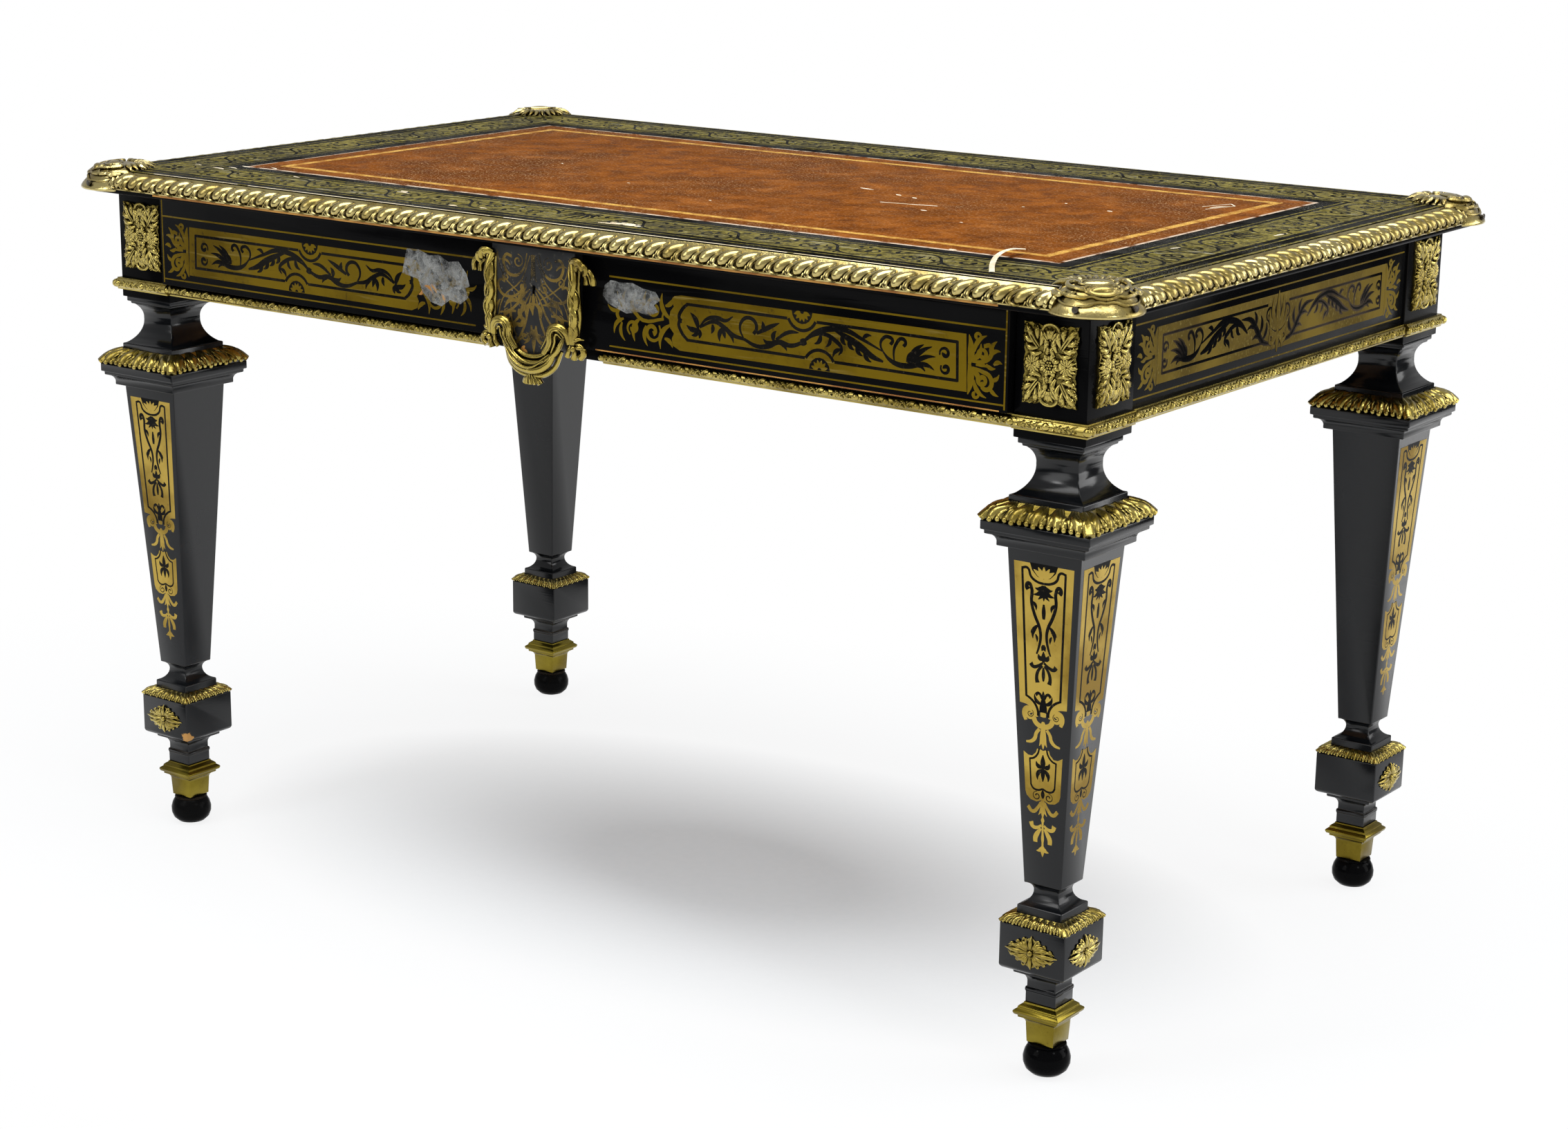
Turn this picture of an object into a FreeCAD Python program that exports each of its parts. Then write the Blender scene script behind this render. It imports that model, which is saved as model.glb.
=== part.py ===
import FreeCAD, Part
import math
import os

from FreeCAD import Vector

# A writing table with a leather top, one long frieze drawer, and four square tapered legs.
# Millimetres. The origin is on the floor under the middle of the top, +Z is up,
# and the sitter's side, with the drawer, faces -Y.

# Top
TOP_HEIGHT = 770.0
TOP_UNDERSIDE = 747.0
VENEER = 3.0
TOP_HALF_X = 642.0
TOP_HALF_Y = 375.0
LEATHER_HALF_X = 531.0
LEATHER_HALF_Y = 264.0
LIP = 20.0
LIP_TOP = 751.5
GADROON_REACH = 24.0
CLASP_RADIUS = 45.0
CLASP_INSET = 15.0
CLASP_FOOT = 748.5
CLASP_SHOULDER = (31.0, 774.5)
CLASP_CREST = 778.8
CLASP_SCREW_HEIGHT = 757.0
CLASP_SCREW_SPREAD = 38.0

# Corner posts and legs
LEG_X = 588.5
LEG_Y = 328.5
POST_FACE_X = 626.5
POST_FACE_Y = 366.5
POST_INNER_X = 550.5
POST_INNER_Y = 284.0
POST_FOOT = 626.6
BALL_RADIUS = 21.5
BALL_CENTRE = 21.2
SABOT_FOOT = 34.5
SABOT_POCKET_FLOOR = 41.0
TENON = 12.3
NECK_HALF = 16.6
NECK_FOOT = 75.8
BLOCK_HALF = 35.9
BLOCK_FOOT = 112.0
BLOCK_TOP = 158.4
ANKLE_SLAB_HALF = 24.6
SHAFT_FOOT = (20.4, 198.3)
SHAFT_HEAD = (39.3, 525.5)
CAP_HALF = 58.0
CAP_TOP = 550.4
NECK_SLAB_HALF = 39.7
NECK_SLAB_TOP = 573.4
FIT_GAP = 0.1

# Frieze
APRON_RECESS = 3.0
APRON_THICK = 22.0
FRIEZE_FOOT = 636.0
MOULDING_FOOT = 635.0
MOULDING_TOP = 648.5
MOULDING_REACH = 10.0
MOULDING_GAP_HALF = 72.0
LOWER_RAIL_DEPTH = 33.5
UPPER_RAIL_FOOT = 735.5
UPPER_RAIL_FRONT = -349.0
UPPER_RAIL_BACK = -320.0

# Drawer, drawn as it stands in use: a finger's width proud of the posts
DRAWER_STANDS_OUT = 10.0
DRAWER_FRONT_FOOT = 649.3
DRAWER_FRONT_HEAD = 746.3
DRAWER_FRONT_HALF = 549.5
DRAWER_FRONT_THICK = 16.0
DRAWER_BACK_FACE = 235.0
DRAWER_SIDE_THICK = 12.0
DRAWER_SIDE_OUT = 548.5
DRAWER_SIDE_FOOT = 652.0
DRAWER_SIDE_HEAD = 733.0
DRAWER_BACK_HEAD = 728.0
DRAWER_BOTTOM_FOOT = 653.0
DRAWER_BOTTOM_THICK = 8.0
RUNNER_TOP = 651.7
RUNNER_FOOT = 639.0
RUNNER_INNER = 526.0
GUIDE_TOP = 690.0
GUIDE_THICK = 7.5
STOP_FACE = 245.3
STOP_LENGTH = 20.0
STOP_TOP = 680.0
LAMBREQUIN_THICK = 12.0
LAMBREQUIN_HALF = 54.0
LOBE_RADIUS = 37.0
LOBE_CENTRE = 661.0
WAIST_HEIGHT = 681.0
KEYHOLE_HEIGHT = 706.0
LOCK_HALF = 30.0
LOCK_FOOT = 690.0
LOCK_HEAD = 730.0
LOCK_THICK = 12.0
LOCK_WALL = 1.5
BOLT_HALF = 10.0
BOLT_THICK = 5.0
BOLT_FOOT = 700.0
BOLT_HEAD = 733.0
BOLT_SLACK = 0.4
MORTISE_SLACK = 2.0

# Ornament plates
PLAQUE_HALF_WIDE = 28.5
PLAQUE_FOOT = 660.0
PLAQUE_HEAD = 735.0
PLAQUE_THICK = 5.0
PLAQUE_SIDE_CENTRE = 325.0
LOZENGE_HALF_WIDE = 29.0
LOZENGE_HALF_HIGH = 17.0
LOZENGE_THICK = 4.0
INLAY = 0.5
# Leg inlays: head, foot, half-width at the head and at the foot
LEG_PANEL = (513.5, 379.0, 32.0, 25.7)
LEG_CARTOUCHE = (331.0, 290.0, 21.0, 19.0)
# Frieze panels
PANEL_FOOT = 662.0
PANEL_HEAD = 718.0
DRAWER_PANEL_NEAR = 170.0
DRAWER_PANEL_FAR = 510.0
SIDE_PANEL_HALF = 238.0
SIDE_PANEL_FOOT = 664.0
SIDE_PANEL_HEAD = 718.0

CORNERS = {
    "front_left": (-1, -1),
    "front_right": (1, -1),
    "back_left": (-1, 1),
    "back_right": (1, 1),
}
parts = {}


def box(low, high):
    size = Vector(*high) - Vector(*low)
    return Part.makeBox(size.x, size.y, size.z, Vector(*low))


def chain(plane, start, steps):
    """Edges through the steps. A step is a point, or a pair (mid, end) for an arc."""
    edges = []
    here = start
    for step in steps:
        if isinstance(step[0], tuple):
            mid, end = step
            edges.append(Part.Arc(plane(*here), plane(*mid), plane(*end)).toShape())
        else:
            end = step
            edges.append(Part.LineSegment(plane(*here), plane(*end)).toShape())
        here = end
    return edges


def closed_face(plane, start, *steps):
    edges = chain(plane, start, steps)
    last = steps[-1][1] if isinstance(steps[-1][0], tuple) else steps[-1]
    if last != start:
        edges.append(Part.LineSegment(plane(*last), plane(*start)).toShape())
    return Part.Face(Part.Wire(edges))


def front_plane(y):
    return lambda u, v: Vector(u, y, v)


def square_turned(start, *steps):
    """A square post: one profile of half-widths and heights on all four sides, mitred."""
    last = steps[-1][1] if isinstance(steps[-1][0], tuple) else steps[-1]
    widths = [start[0]]
    for step in steps:
        widths += [p[0] for p in step] if isinstance(step[0], tuple) else [step[0]]
    reach = max(widths) + 5.0
    right = chain(lambda u, v: Vector(u, -reach, v), start, steps)
    left = chain(lambda u, v: Vector(-u, -reach, v), start, steps)
    level = [Part.LineSegment(Vector(-u, -reach, v), Vector(u, -reach, v)).toShape()
             for u, v in (start, last)]
    wire = Part.Wire(Part.__sortEdges__(right + left + level))
    across = Part.Face(wire).extrude(Vector(0, 2 * reach, 0))
    along = across.copy()
    along.rotate(Vector(0, 0, 0), Vector(0, 0, 1), 90)
    return across.common(along)


def moved(shape, x=0.0, y=0.0, z=0.0):
    copy = shape.copy()
    copy.translate(Vector(x, y, z))
    return copy


def turned(shape, degrees):
    copy = shape.copy()
    copy.rotate(Vector(0, 0, 0), Vector(0, 0, 1), degrees)
    return copy


def mirrored_x(shape):
    return shape.mirror(Vector(0, 0, 0), Vector(1, 0, 0))


def single(shape):
    solids = shape.Solids
    assert len(solids) == 1, "expected one solid"
    return solids[0]


def group(shapes):
    solids = []
    for shape in shapes:
        solids += shape.Solids
    return Part.makeCompound(solids)


def at_legs(shape):
    return {name: moved(shape, sx * LEG_X, sy * LEG_Y) for name, (sx, sy) in CORNERS.items()}


def clasp_axis(sx, sy):
    return sx * (TOP_HALF_X - CLASP_INSET), sy * (TOP_HALF_Y - CLASP_INSET)


def top_core():
    return box((-TOP_HALF_X, -TOP_HALF_Y, TOP_UNDERSIDE),
               (TOP_HALF_X, TOP_HALF_Y, TOP_HEIGHT - VENEER))


def top_lip():
    """The lower lip that carries the edge castings, rounded where the clasps wrap the corners."""
    half_x, half_y = TOP_HALF_X + LIP, TOP_HALF_Y + LIP
    lip = box((-half_x, -half_y, TOP_UNDERSIDE), (half_x, half_y, LIP_TOP))
    uprights = [e for e in lip.Edges if abs(e.tangentAt(e.FirstParameter).z) > 0.9]
    return lip.makeFillet(CLASP_INSET + LIP, uprights)


def clasp_screw(sx, sy, spread):
    """One wood screw set square to the clasp's rounded band."""
    x, y = clasp_axis(sx, sy)
    heading = math.radians(math.degrees(math.atan2(sy, sx)) + spread)
    out = Vector(math.cos(heading), math.sin(heading), 0)
    base = Vector(x, y, CLASP_SCREW_HEIGHT)
    shank = Part.makeCylinder(1.8, CLASP_RADIUS - 13.0, base + out * 12.0, out)
    head = Part.makeCylinder(3.0, 1.7, base + out * (CLASP_RADIUS - 1.2), out)
    return shank.fuse(head).removeSplitter()


def clasp_body(sx, sy):
    """Domed round casting over a corner, before the board is cut out of it."""
    x, y = clasp_axis(sx, sy)
    rim, shoulder = CLASP_SHOULDER
    rise = CLASP_CREST - shoulder
    crown_radius = (rim ** 2 + rise ** 2) / (2 * rise)
    half_rim = rim / 2
    half_rise = CLASP_CREST - crown_radius + math.sqrt(crown_radius ** 2 - half_rim ** 2)
    section = closed_face(lambda u, v: Vector(x + u, y, v), (0.0, CLASP_FOOT),
                          (CLASP_RADIUS - 1.5, CLASP_FOOT),
                          ((CLASP_RADIUS, 752.5), (CLASP_RADIUS - 0.8, 757.0)),
                          ((CLASP_RADIUS - 3.5, 767.0), CLASP_SHOULDER),
                          ((half_rim, half_rise), (0.0, CLASP_CREST)))
    return section.revolve(Vector(x, y, 0), Vector(0, 0, 1), 360)


def make_top():
    solid_top = box((-TOP_HALF_X, -TOP_HALF_Y, TOP_UNDERSIDE), (TOP_HALF_X, TOP_HALF_Y, TOP_HEIGHT))
    lip = top_lip()
    screws = [clasp_screw(sx, sy, side * CLASP_SCREW_SPREAD)
              for sx, sy in CORNERS.values() for side in (-1, 1)]
    all_screws = group(screws)
    parts["top_board"] = single(top_core().fuse(lip).removeSplitter().cut(all_screws))
    parts["clasp_screws"] = all_screws
    for name, (sx, sy) in CORNERS.items():
        body = clasp_body(sx, sy).cut(solid_top).cut(lip).cut(all_screws)
        parts["corner_clasp_" + name] = single(body)
    low = TOP_HEIGHT - VENEER
    parts["leather_writing_surface"] = box((-LEATHER_HALF_X, -LEATHER_HALF_Y, low),
                                           (LEATHER_HALF_X, LEATHER_HALF_Y, TOP_HEIGHT))
    parts["marquetry_border"] = group(border_strips())


def border_strips():
    """Four mitred veneer strips between the leather and the edge casting."""
    low = TOP_HEIGHT - VENEER
    turns = [(-1, -1), (1, -1), (1, 1), (-1, 1)]
    outer = [(sx * TOP_HALF_X, sy * TOP_HALF_Y) for sx, sy in turns]
    inner = [(sx * LEATHER_HALF_X, sy * LEATHER_HALF_Y) for sx, sy in turns]
    strips = []
    for i in range(4):
        j = (i + 1) % 4
        face = closed_face(lambda u, v: Vector(u, v, low), outer[i], outer[j], inner[j], inner[i])
        strips.append(face.extrude(Vector(0, 0, VENEER)))
    return strips


def make_gadroon_edges():
    """Half-round edge castings that stand on the lip, cut to fit against the corner clasps."""
    clasps = [Part.makeCylinder(CLASP_RADIUS + FIT_GAP, 60.0, Vector(*clasp_axis(sx, sy), TOP_UNDERSIDE))
              for sx, sy in CORNERS.values()]
    sides = {"front": (TOP_HALF_X, TOP_HALF_Y, 0), "right": (TOP_HALF_Y, TOP_HALF_X, 90),
             "back": (TOP_HALF_X, TOP_HALF_Y, 180), "left": (TOP_HALF_Y, TOP_HALF_X, 270)}
    for name, (half_run, edge, turn) in sides.items():
        section = closed_face(lambda u, v: Vector(-half_run, -edge - u, v), (0.0, LIP_TOP),
                              (GADROON_REACH - 2.5, LIP_TOP),
                              ((GADROON_REACH, 757.0), (GADROON_REACH - 1.8, 763.5)),
                              ((GADROON_REACH - 9.0, 769.4), (6.0, 771.3)),
                              ((2.5, 771.3), (0.0, TOP_HEIGHT)))
        run = turned(section.extrude(Vector(2 * half_run, 0, 0)), turn)
        for clasp in clasps:
            run = run.cut(clasp)
        parts["gadroon_edge_" + name] = single(run)


def leg_solid():
    """One leg from the tenon inside the shoe up to the fillet under the corner post."""
    return square_turned(
        (TENON, SABOT_POCKET_FLOOR), (TENON, NECK_FOOT), (NECK_HALF, NECK_FOOT), (NECK_HALF, 87.0),
        ((NECK_HALF + 0.7, 89.0), (NECK_HALF, 91.0)), (15.8, 91.0), (15.8, 97.0),
        ((18.2, 103.4), (25.0, 106.6)), (25.7, 106.6), (25.7, BLOCK_FOOT),
        (BLOCK_HALF - 4.5, BLOCK_FOOT),
        ((BLOCK_HALF - 1.3, BLOCK_FOOT + 1.3), (BLOCK_HALF, BLOCK_FOOT + 4.5)),
        (BLOCK_HALF, BLOCK_TOP), (ANKLE_SLAB_HALF, BLOCK_TOP), (ANKLE_SLAB_HALF, 175.1),
        ((16.6, 180.2), (13.6, 188.0)), ((14.9, 193.6), (19.4, 197.0)),
        (SHAFT_FOOT[0], 197.0), SHAFT_FOOT, SHAFT_HEAD,
        (46.9, SHAFT_HEAD[1]), (46.9, 530.2), ((49.3, 535.0), (54.5, 537.2)), (55.3, 537.2),
        (55.3, 541.3), (CAP_HALF, 541.3), (CAP_HALF, CAP_TOP),
        (NECK_SLAB_HALF, CAP_TOP), (NECK_SLAB_HALF, NECK_SLAB_TOP), (37.6, NECK_SLAB_TOP),
        ((26.6, 584.5), (22.4, 602.0)), ((24.4, 611.6), (30.0, 618.2)),
        (32.0, 618.2), (32.0, 621.0), (35.0, 621.0), (35.0, POST_FOOT))


def sabot_solid():
    """Brass shoe: a tapered box under a stepped rim, hollow for the leg's tenon."""
    outside = square_turned((14.6, SABOT_FOOT), (15.6, 53.5), ((16.6, 57.4), (20.6, 60.2)),
                            (21.4, 60.2), (21.4, 62.4), (24.2, 63.6), (25.3, 66.4), (24.6, 67.6),
                            (21.6, 69.8), (21.6, 71.4), (19.4, 73.2), (NECK_HALF + 0.8, 74.6),
                            (NECK_HALF + 0.8, NECK_FOOT))
    half = TENON + FIT_GAP
    pocket = box((-half, -half, SABOT_POCKET_FLOOR), (half, half, NECK_FOOT))
    return single(outside.cut(pocket))


def ball_solid():
    """Ebonised ball, flat where it meets the shoe and where it stands."""
    ball = Part.makeSphere(BALL_RADIUS, Vector(0, 0, BALL_CENTRE))
    return single(ball.common(box((-30, -30, 0), (30, 30, SABOT_FOOT))))


def collar_solid():
    """Sloping leaf collar on the cap, round the foot of the neck."""
    inner = NECK_SLAB_HALF + FIT_GAP
    outside = square_turned((56.5, CAP_TOP), (58.6, 552.6), ((59.2, 556.4), (57.4, 559.2)),
                            ((50.5, 562.6), (inner + 1.0, 566.5)))
    return single(outside.cut(box((-inner, -inner, CAP_TOP - 5.0), (inner, inner, 570.0))))


def block_band_solid():
    """Cast leaf band lying on the foot block, round the slab above it."""
    inner = ANKLE_SLAB_HALF + FIT_GAP
    outside = square_turned((36.4, BLOCK_TOP), (37.0, 160.2), ((32.6, 163.6), (inner + 1.0, 166.6)))
    return single(outside.cut(box((-inner, -inner, BLOCK_TOP - 5.0), (inner, inner, 170.0))))


def shaft_half(z):
    (w0, z0), (w1, z1) = SHAFT_FOOT, SHAFT_HEAD
    return w0 + (w1 - w0) * (z - z0) / (z1 - z0)


def shaft_plate(head, foot, head_half, foot_half):
    """Inlay plate on the sloping -Y face of a shaft that stands at the origin."""
    corner = [(-head_half, head), (head_half, head), (foot_half, foot), (-foot_half, foot)]
    face = closed_face(lambda u, v: Vector(u, -shaft_half(v), v), *corner)
    slope = math.atan2(SHAFT_HEAD[0] - SHAFT_FOOT[0], SHAFT_HEAD[1] - SHAFT_FOOT[1])
    return face.extrude(Vector(0, -math.cos(slope) * INLAY, -math.sin(slope) * INLAY))


def make_legs():
    leg = single(leg_solid())
    for kind, solid in (("leg_", leg), ("sabot_", sabot_solid()), ("ball_foot_", ball_solid())):
        for name, placed in at_legs(solid).items():
            parts[kind + name] = placed
    parts["leaf_collars"] = group(at_legs(collar_solid()).values())
    parts["foot_block_bands"] = group(at_legs(block_band_solid()).values())
    lozenges = []
    inlays = []
    half_w, half_h = LOZENGE_HALF_WIDE, LOZENGE_HALF_HIGH
    mid_z = (BLOCK_FOOT + BLOCK_TOP) / 2
    flat = closed_face(front_plane(-BLOCK_HALF), (-half_w, mid_z), (0.0, mid_z + half_h),
                       (half_w, mid_z), (0.0, mid_z - half_h))
    lozenge = flat.extrude(Vector(0, -LOZENGE_THICK, 0))
    upper = shaft_plate(*LEG_PANEL)
    lower = shaft_plate(*LEG_CARTOUCHE)
    for sx, sy in CORNERS.values():
        for turn in (0 if sy < 0 else 180, 90 if sx > 0 else 270):
            lozenges.append(moved(turned(lozenge, turn), sx * LEG_X, sy * LEG_Y))
            inlays += [moved(turned(plate, turn), sx * LEG_X, sy * LEG_Y) for plate in (upper, lower)]
    parts["lozenge_mounts"] = group(lozenges)
    parts["leg_inlays"] = group(inlays)


def make_posts():
    plaques = []
    mid_x = (POST_FACE_X + POST_INNER_X) / 2
    for name, (sx, sy) in CORNERS.items():
        x0, x1 = sorted((sx * POST_INNER_X, sx * POST_FACE_X))
        y0, y1 = sorted((sy * POST_INNER_Y, sy * POST_FACE_Y))
        parts["corner_post_" + name] = box((x0, y0, POST_FOOT), (x1, y1, TOP_UNDERSIDE))
        y0, y1 = sorted((sy * POST_FACE_Y, sy * (POST_FACE_Y + PLAQUE_THICK)))
        plaques.append(box((sx * mid_x - PLAQUE_HALF_WIDE, y0, PLAQUE_FOOT),
                           (sx * mid_x + PLAQUE_HALF_WIDE, y1, PLAQUE_HEAD)))
        x0, x1 = sorted((sx * POST_FACE_X, sx * (POST_FACE_X + PLAQUE_THICK)))
        plaques.append(box((x0, sy * PLAQUE_SIDE_CENTRE - PLAQUE_HALF_WIDE, PLAQUE_FOOT),
                           (x1, sy * PLAQUE_SIDE_CENTRE + PLAQUE_HALF_WIDE, PLAQUE_HEAD)))
    parts["post_plaques"] = group(plaques)


def make_aprons():
    side_face = POST_FACE_X - APRON_RECESS
    back_face = POST_FACE_Y - APRON_RECESS
    side = box((side_face - APRON_THICK, -POST_INNER_Y, FRIEZE_FOOT),
               (side_face, POST_INNER_Y, TOP_UNDERSIDE))
    parts["side_apron_right"] = side
    parts["side_apron_left"] = mirrored_x(side)
    parts["back_apron"] = box((-POST_INNER_X, back_face - APRON_THICK, FRIEZE_FOOT),
                              (POST_INNER_X, back_face, TOP_UNDERSIDE))
    parts["front_lower_rail"] = box((-POST_INNER_X, -back_face, FRIEZE_FOOT),
                                    (POST_INNER_X, -back_face + LOWER_RAIL_DEPTH, MOULDING_TOP))
    upper = box((-POST_INNER_X, UPPER_RAIL_FRONT, UPPER_RAIL_FOOT),
                (POST_INNER_X, UPPER_RAIL_BACK, TOP_UNDERSIDE))
    bolt_closed = -POST_FACE_Y + DRAWER_FRONT_THICK + LOCK_THICK / 2
    mortise_wide = BOLT_HALF + MORTISE_SLACK
    mortise_deep = BOLT_THICK / 2 + MORTISE_SLACK
    mortise = box((-mortise_wide, bolt_closed - mortise_deep, UPPER_RAIL_FOOT),
                  (mortise_wide, bolt_closed + mortise_deep, TOP_UNDERSIDE))
    parts["front_upper_rail"] = single(upper.cut(mortise))
    plate = box((side_face, -SIDE_PANEL_HALF, SIDE_PANEL_FOOT),
                (side_face + INLAY, SIDE_PANEL_HALF, SIDE_PANEL_HEAD))
    parts["side_inlays"] = group([plate, mirrored_x(plate)])
    panel = box((DRAWER_PANEL_NEAR, back_face, PANEL_FOOT),
                (DRAWER_PANEL_FAR, back_face + INLAY, PANEL_HEAD))
    parts["back_inlays"] = group([panel, mirrored_x(panel)])


def moulding_run(length):
    """Half-round frieze moulding along +X from the origin, its back on y = 0, facing -Y."""
    mid = (MOULDING_FOOT + MOULDING_TOP) / 2
    flat = MOULDING_REACH - 4.0
    section = closed_face(lambda u, v: Vector(0, -u, v), (0.0, MOULDING_FOOT), (flat, MOULDING_FOOT),
                          ((MOULDING_REACH, mid), (flat, MOULDING_TOP)), (0.0, MOULDING_TOP))
    return section.extrude(Vector(length, 0, 0))


def post_moulding():
    """The moulding round one post, mitred at the corner, made for the front right post."""
    front = moved(moulding_run(POST_FACE_X + MOULDING_REACH - POST_INNER_X),
                  POST_INNER_X, -POST_FACE_Y)
    side = moved(turned(moulding_run(POST_FACE_Y + MOULDING_REACH - POST_INNER_Y), 90),
                 POST_FACE_X, -POST_FACE_Y - MOULDING_REACH)
    corner = (POST_FACE_X, -POST_FACE_Y)
    far = 60.0
    wedge = closed_face(lambda u, v: Vector(corner[0] + u, corner[1] + v, MOULDING_FOOT - 1.0),
                        (-far, far), (far, -far), (far, far))
    right_of_mitre = wedge.extrude(Vector(0, 0, MOULDING_TOP - MOULDING_FOOT + 2.0))
    return single(front.cut(right_of_mitre).fuse(side.common(right_of_mitre)).removeSplitter())


def make_frieze_mouldings():
    face_y = POST_FACE_Y - APRON_RECESS
    face_x = POST_FACE_X - APRON_RECESS
    half = moved(moulding_run(POST_INNER_X - MOULDING_GAP_HALF), MOULDING_GAP_HALF, -face_y)
    front_pair = [half, mirrored_x(half)]
    parts["frieze_moulding_front"] = group(front_pair)
    parts["frieze_moulding_back"] = group([turned(run, 180) for run in front_pair])
    side = moved(turned(moulding_run(2 * POST_INNER_Y), 90), face_x, -POST_INNER_Y)
    parts["frieze_moulding_sides"] = group([side, mirrored_x(side)])
    corner = post_moulding()
    over = corner.mirror(Vector(0, 0, 0), Vector(0, 1, 0))
    parts["post_mouldings"] = group([corner, mirrored_x(corner), over, mirrored_x(over)])


def keyhole(y_low, y_high):
    barrel = Part.makeCylinder(2.6, y_high - y_low, Vector(0, y_low, KEYHOLE_HEIGHT), Vector(0, 1, 0))
    slot = box((-1.4, y_low, KEYHOLE_HEIGHT - 9.0), (1.4, y_high, KEYHOLE_HEIGHT))
    return barrel.fuse(slot)


def lambrequin_solid(back):
    """Shield-shaped apron board whose back is on y = back, facing -Y."""
    half, r, low = LAMBREQUIN_HALF, LOBE_RADIUS, LOBE_CENTRE
    slant = r * math.sqrt(0.5)
    hip = (half - 3.5, low + 7.0)
    face = closed_face(front_plane(back), (-half, DRAWER_FRONT_HEAD), (half, DRAWER_FRONT_HEAD),
                       (half, WAIST_HEIGHT), (hip, (r, low)),
                       ((slant, low - slant), (0.0, low - r)), ((-slant, low - slant), (-r, low)),
                       ((-hip[0], hip[1]), (-half, WAIST_HEIGHT)))
    return face.extrude(Vector(0, -LAMBREQUIN_THICK, 0))


def drapery_solid(back):
    """Cast drapery round the lambrequin: knots, hanging drapes, rosettes, a swag and a tassel."""
    face = back - LAMBREQUIN_THICK
    low = LOBE_CENTRE
    pieces = []
    for side in (-1, 1):
        drape = Part.makeCylinder(8.0, 74.0, Vector(side * 56.0, face - 1.0, low))
        knot = Part.makeSphere(11.0, Vector(side * 60.0, face + 1.0, low + 71.0))
        streamer = Part.makeCylinder(6.0, 22.0, Vector(side * 62.0, face + 1.0, low + 68.0),
                                     Vector(side * 0.86, 0, -0.5))
        streamer_end = Part.makeSphere(7.0, Vector(side * 79.0, face + 1.0, low + 58.0))
        rosette = Part.makeSphere(12.0, Vector(side * 55.0, face + 1.0, low - 8.0))
        fold = Part.makeCylinder(6.5, 26.0, Vector(side * 50.0, face - 1.0, low - 6.0),
                                 Vector(-side * 0.85, 0, 0.53))
        fold_end = Part.makeSphere(9.2, Vector(side * 28.0, face - 0.5, low + 6.5))
        pieces += [drape, knot, streamer, streamer_end, rosette, fold, fold_end]
    ring = Part.makeTorus(28.5, 8.0, Vector(0, face - 1.0, low), Vector(0, 1, 0))
    swag = ring.common(box((-60, face - 20, low - 60), (60, face + 20, low + 7.0)))
    tassel = Part.makeCone(5.0, 10.5, 19.0, Vector(0, face - 1.0, low - 33.5), Vector(0, 0, -1))
    whole = swag.multiFuse(pieces + [tassel]).removeSplitter()
    behind = box((-120, back - 0.5, low - 80), (120, back + 60, low + 120))
    return single(whole.cut(lambrequin_solid(back)).cut(behind))


def make_drawer():
    front_face = -POST_FACE_Y - DRAWER_STANDS_OUT
    front_back = front_face + DRAWER_FRONT_THICK
    front = box((-DRAWER_FRONT_HALF, front_face, DRAWER_FRONT_FOOT),
                (DRAWER_FRONT_HALF, front_back, DRAWER_FRONT_HEAD))
    hole = keyhole(front_face - LAMBREQUIN_THICK - 1.0, front_back + 1.0)
    parts["drawer_front"] = single(front.cut(hole))
    parts["lambrequin"] = single(lambrequin_solid(front_face).cut(hole))
    parts["drapery_mount"] = drapery_solid(front_face)
    inner = DRAWER_SIDE_OUT - DRAWER_SIDE_THICK
    side = box((inner, front_back, DRAWER_SIDE_FOOT),
               (DRAWER_SIDE_OUT, DRAWER_BACK_FACE, DRAWER_SIDE_HEAD))
    parts["drawer_side_right"] = side
    parts["drawer_side_left"] = mirrored_x(side)
    bottom_head = DRAWER_BOTTOM_FOOT + DRAWER_BOTTOM_THICK
    back_front = DRAWER_BACK_FACE - DRAWER_SIDE_THICK
    parts["drawer_bottom"] = box((-inner, front_back, DRAWER_BOTTOM_FOOT),
                                 (inner, DRAWER_BACK_FACE, bottom_head))
    parts["drawer_back"] = box((-inner, back_front, bottom_head),
                               (inner, DRAWER_BACK_FACE, DRAWER_BACK_HEAD))
    panel = box((DRAWER_PANEL_NEAR, front_face - INLAY, PANEL_FOOT),
                (DRAWER_PANEL_FAR, front_face, PANEL_HEAD))
    parts["drawer_inlays"] = group([panel, mirrored_x(panel)])
    make_lock(front_back)
    back_face = POST_FACE_Y - APRON_RECESS
    parts["back_lambrequin"] = turned(lambrequin_solid(-back_face), 180)
    parts["back_drapery"] = turned(drapery_solid(-back_face), 180)


def make_lock(front_back):
    """Box lock behind the drawer front, with a bolt that rises into the rail above."""
    case = box((-LOCK_HALF, front_back, LOCK_FOOT), (LOCK_HALF, front_back + LOCK_THICK, LOCK_HEAD))
    room = box((-LOCK_HALF + LOCK_WALL, front_back + LOCK_WALL, LOCK_FOOT + LOCK_WALL),
               (LOCK_HALF - LOCK_WALL, front_back + LOCK_THICK - LOCK_WALL, LOCK_HEAD - LOCK_WALL))
    near = front_back + (LOCK_THICK - BOLT_THICK) / 2
    far = near + BOLT_THICK
    slot = box((-BOLT_HALF - BOLT_SLACK, near - BOLT_SLACK, LOCK_HEAD - LOCK_WALL - 1.0),
               (BOLT_HALF + BOLT_SLACK, far + BOLT_SLACK, LOCK_HEAD + 1.0))
    key_way = keyhole(front_back - 1.0, front_back + LOCK_WALL + 1.0)
    parts["lock_case"] = single(case.cut(room).cut(slot).cut(key_way))
    parts["lock_bolt"] = box((-BOLT_HALF, near, BOLT_FOOT), (BOLT_HALF, far, BOLT_HEAD))


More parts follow.
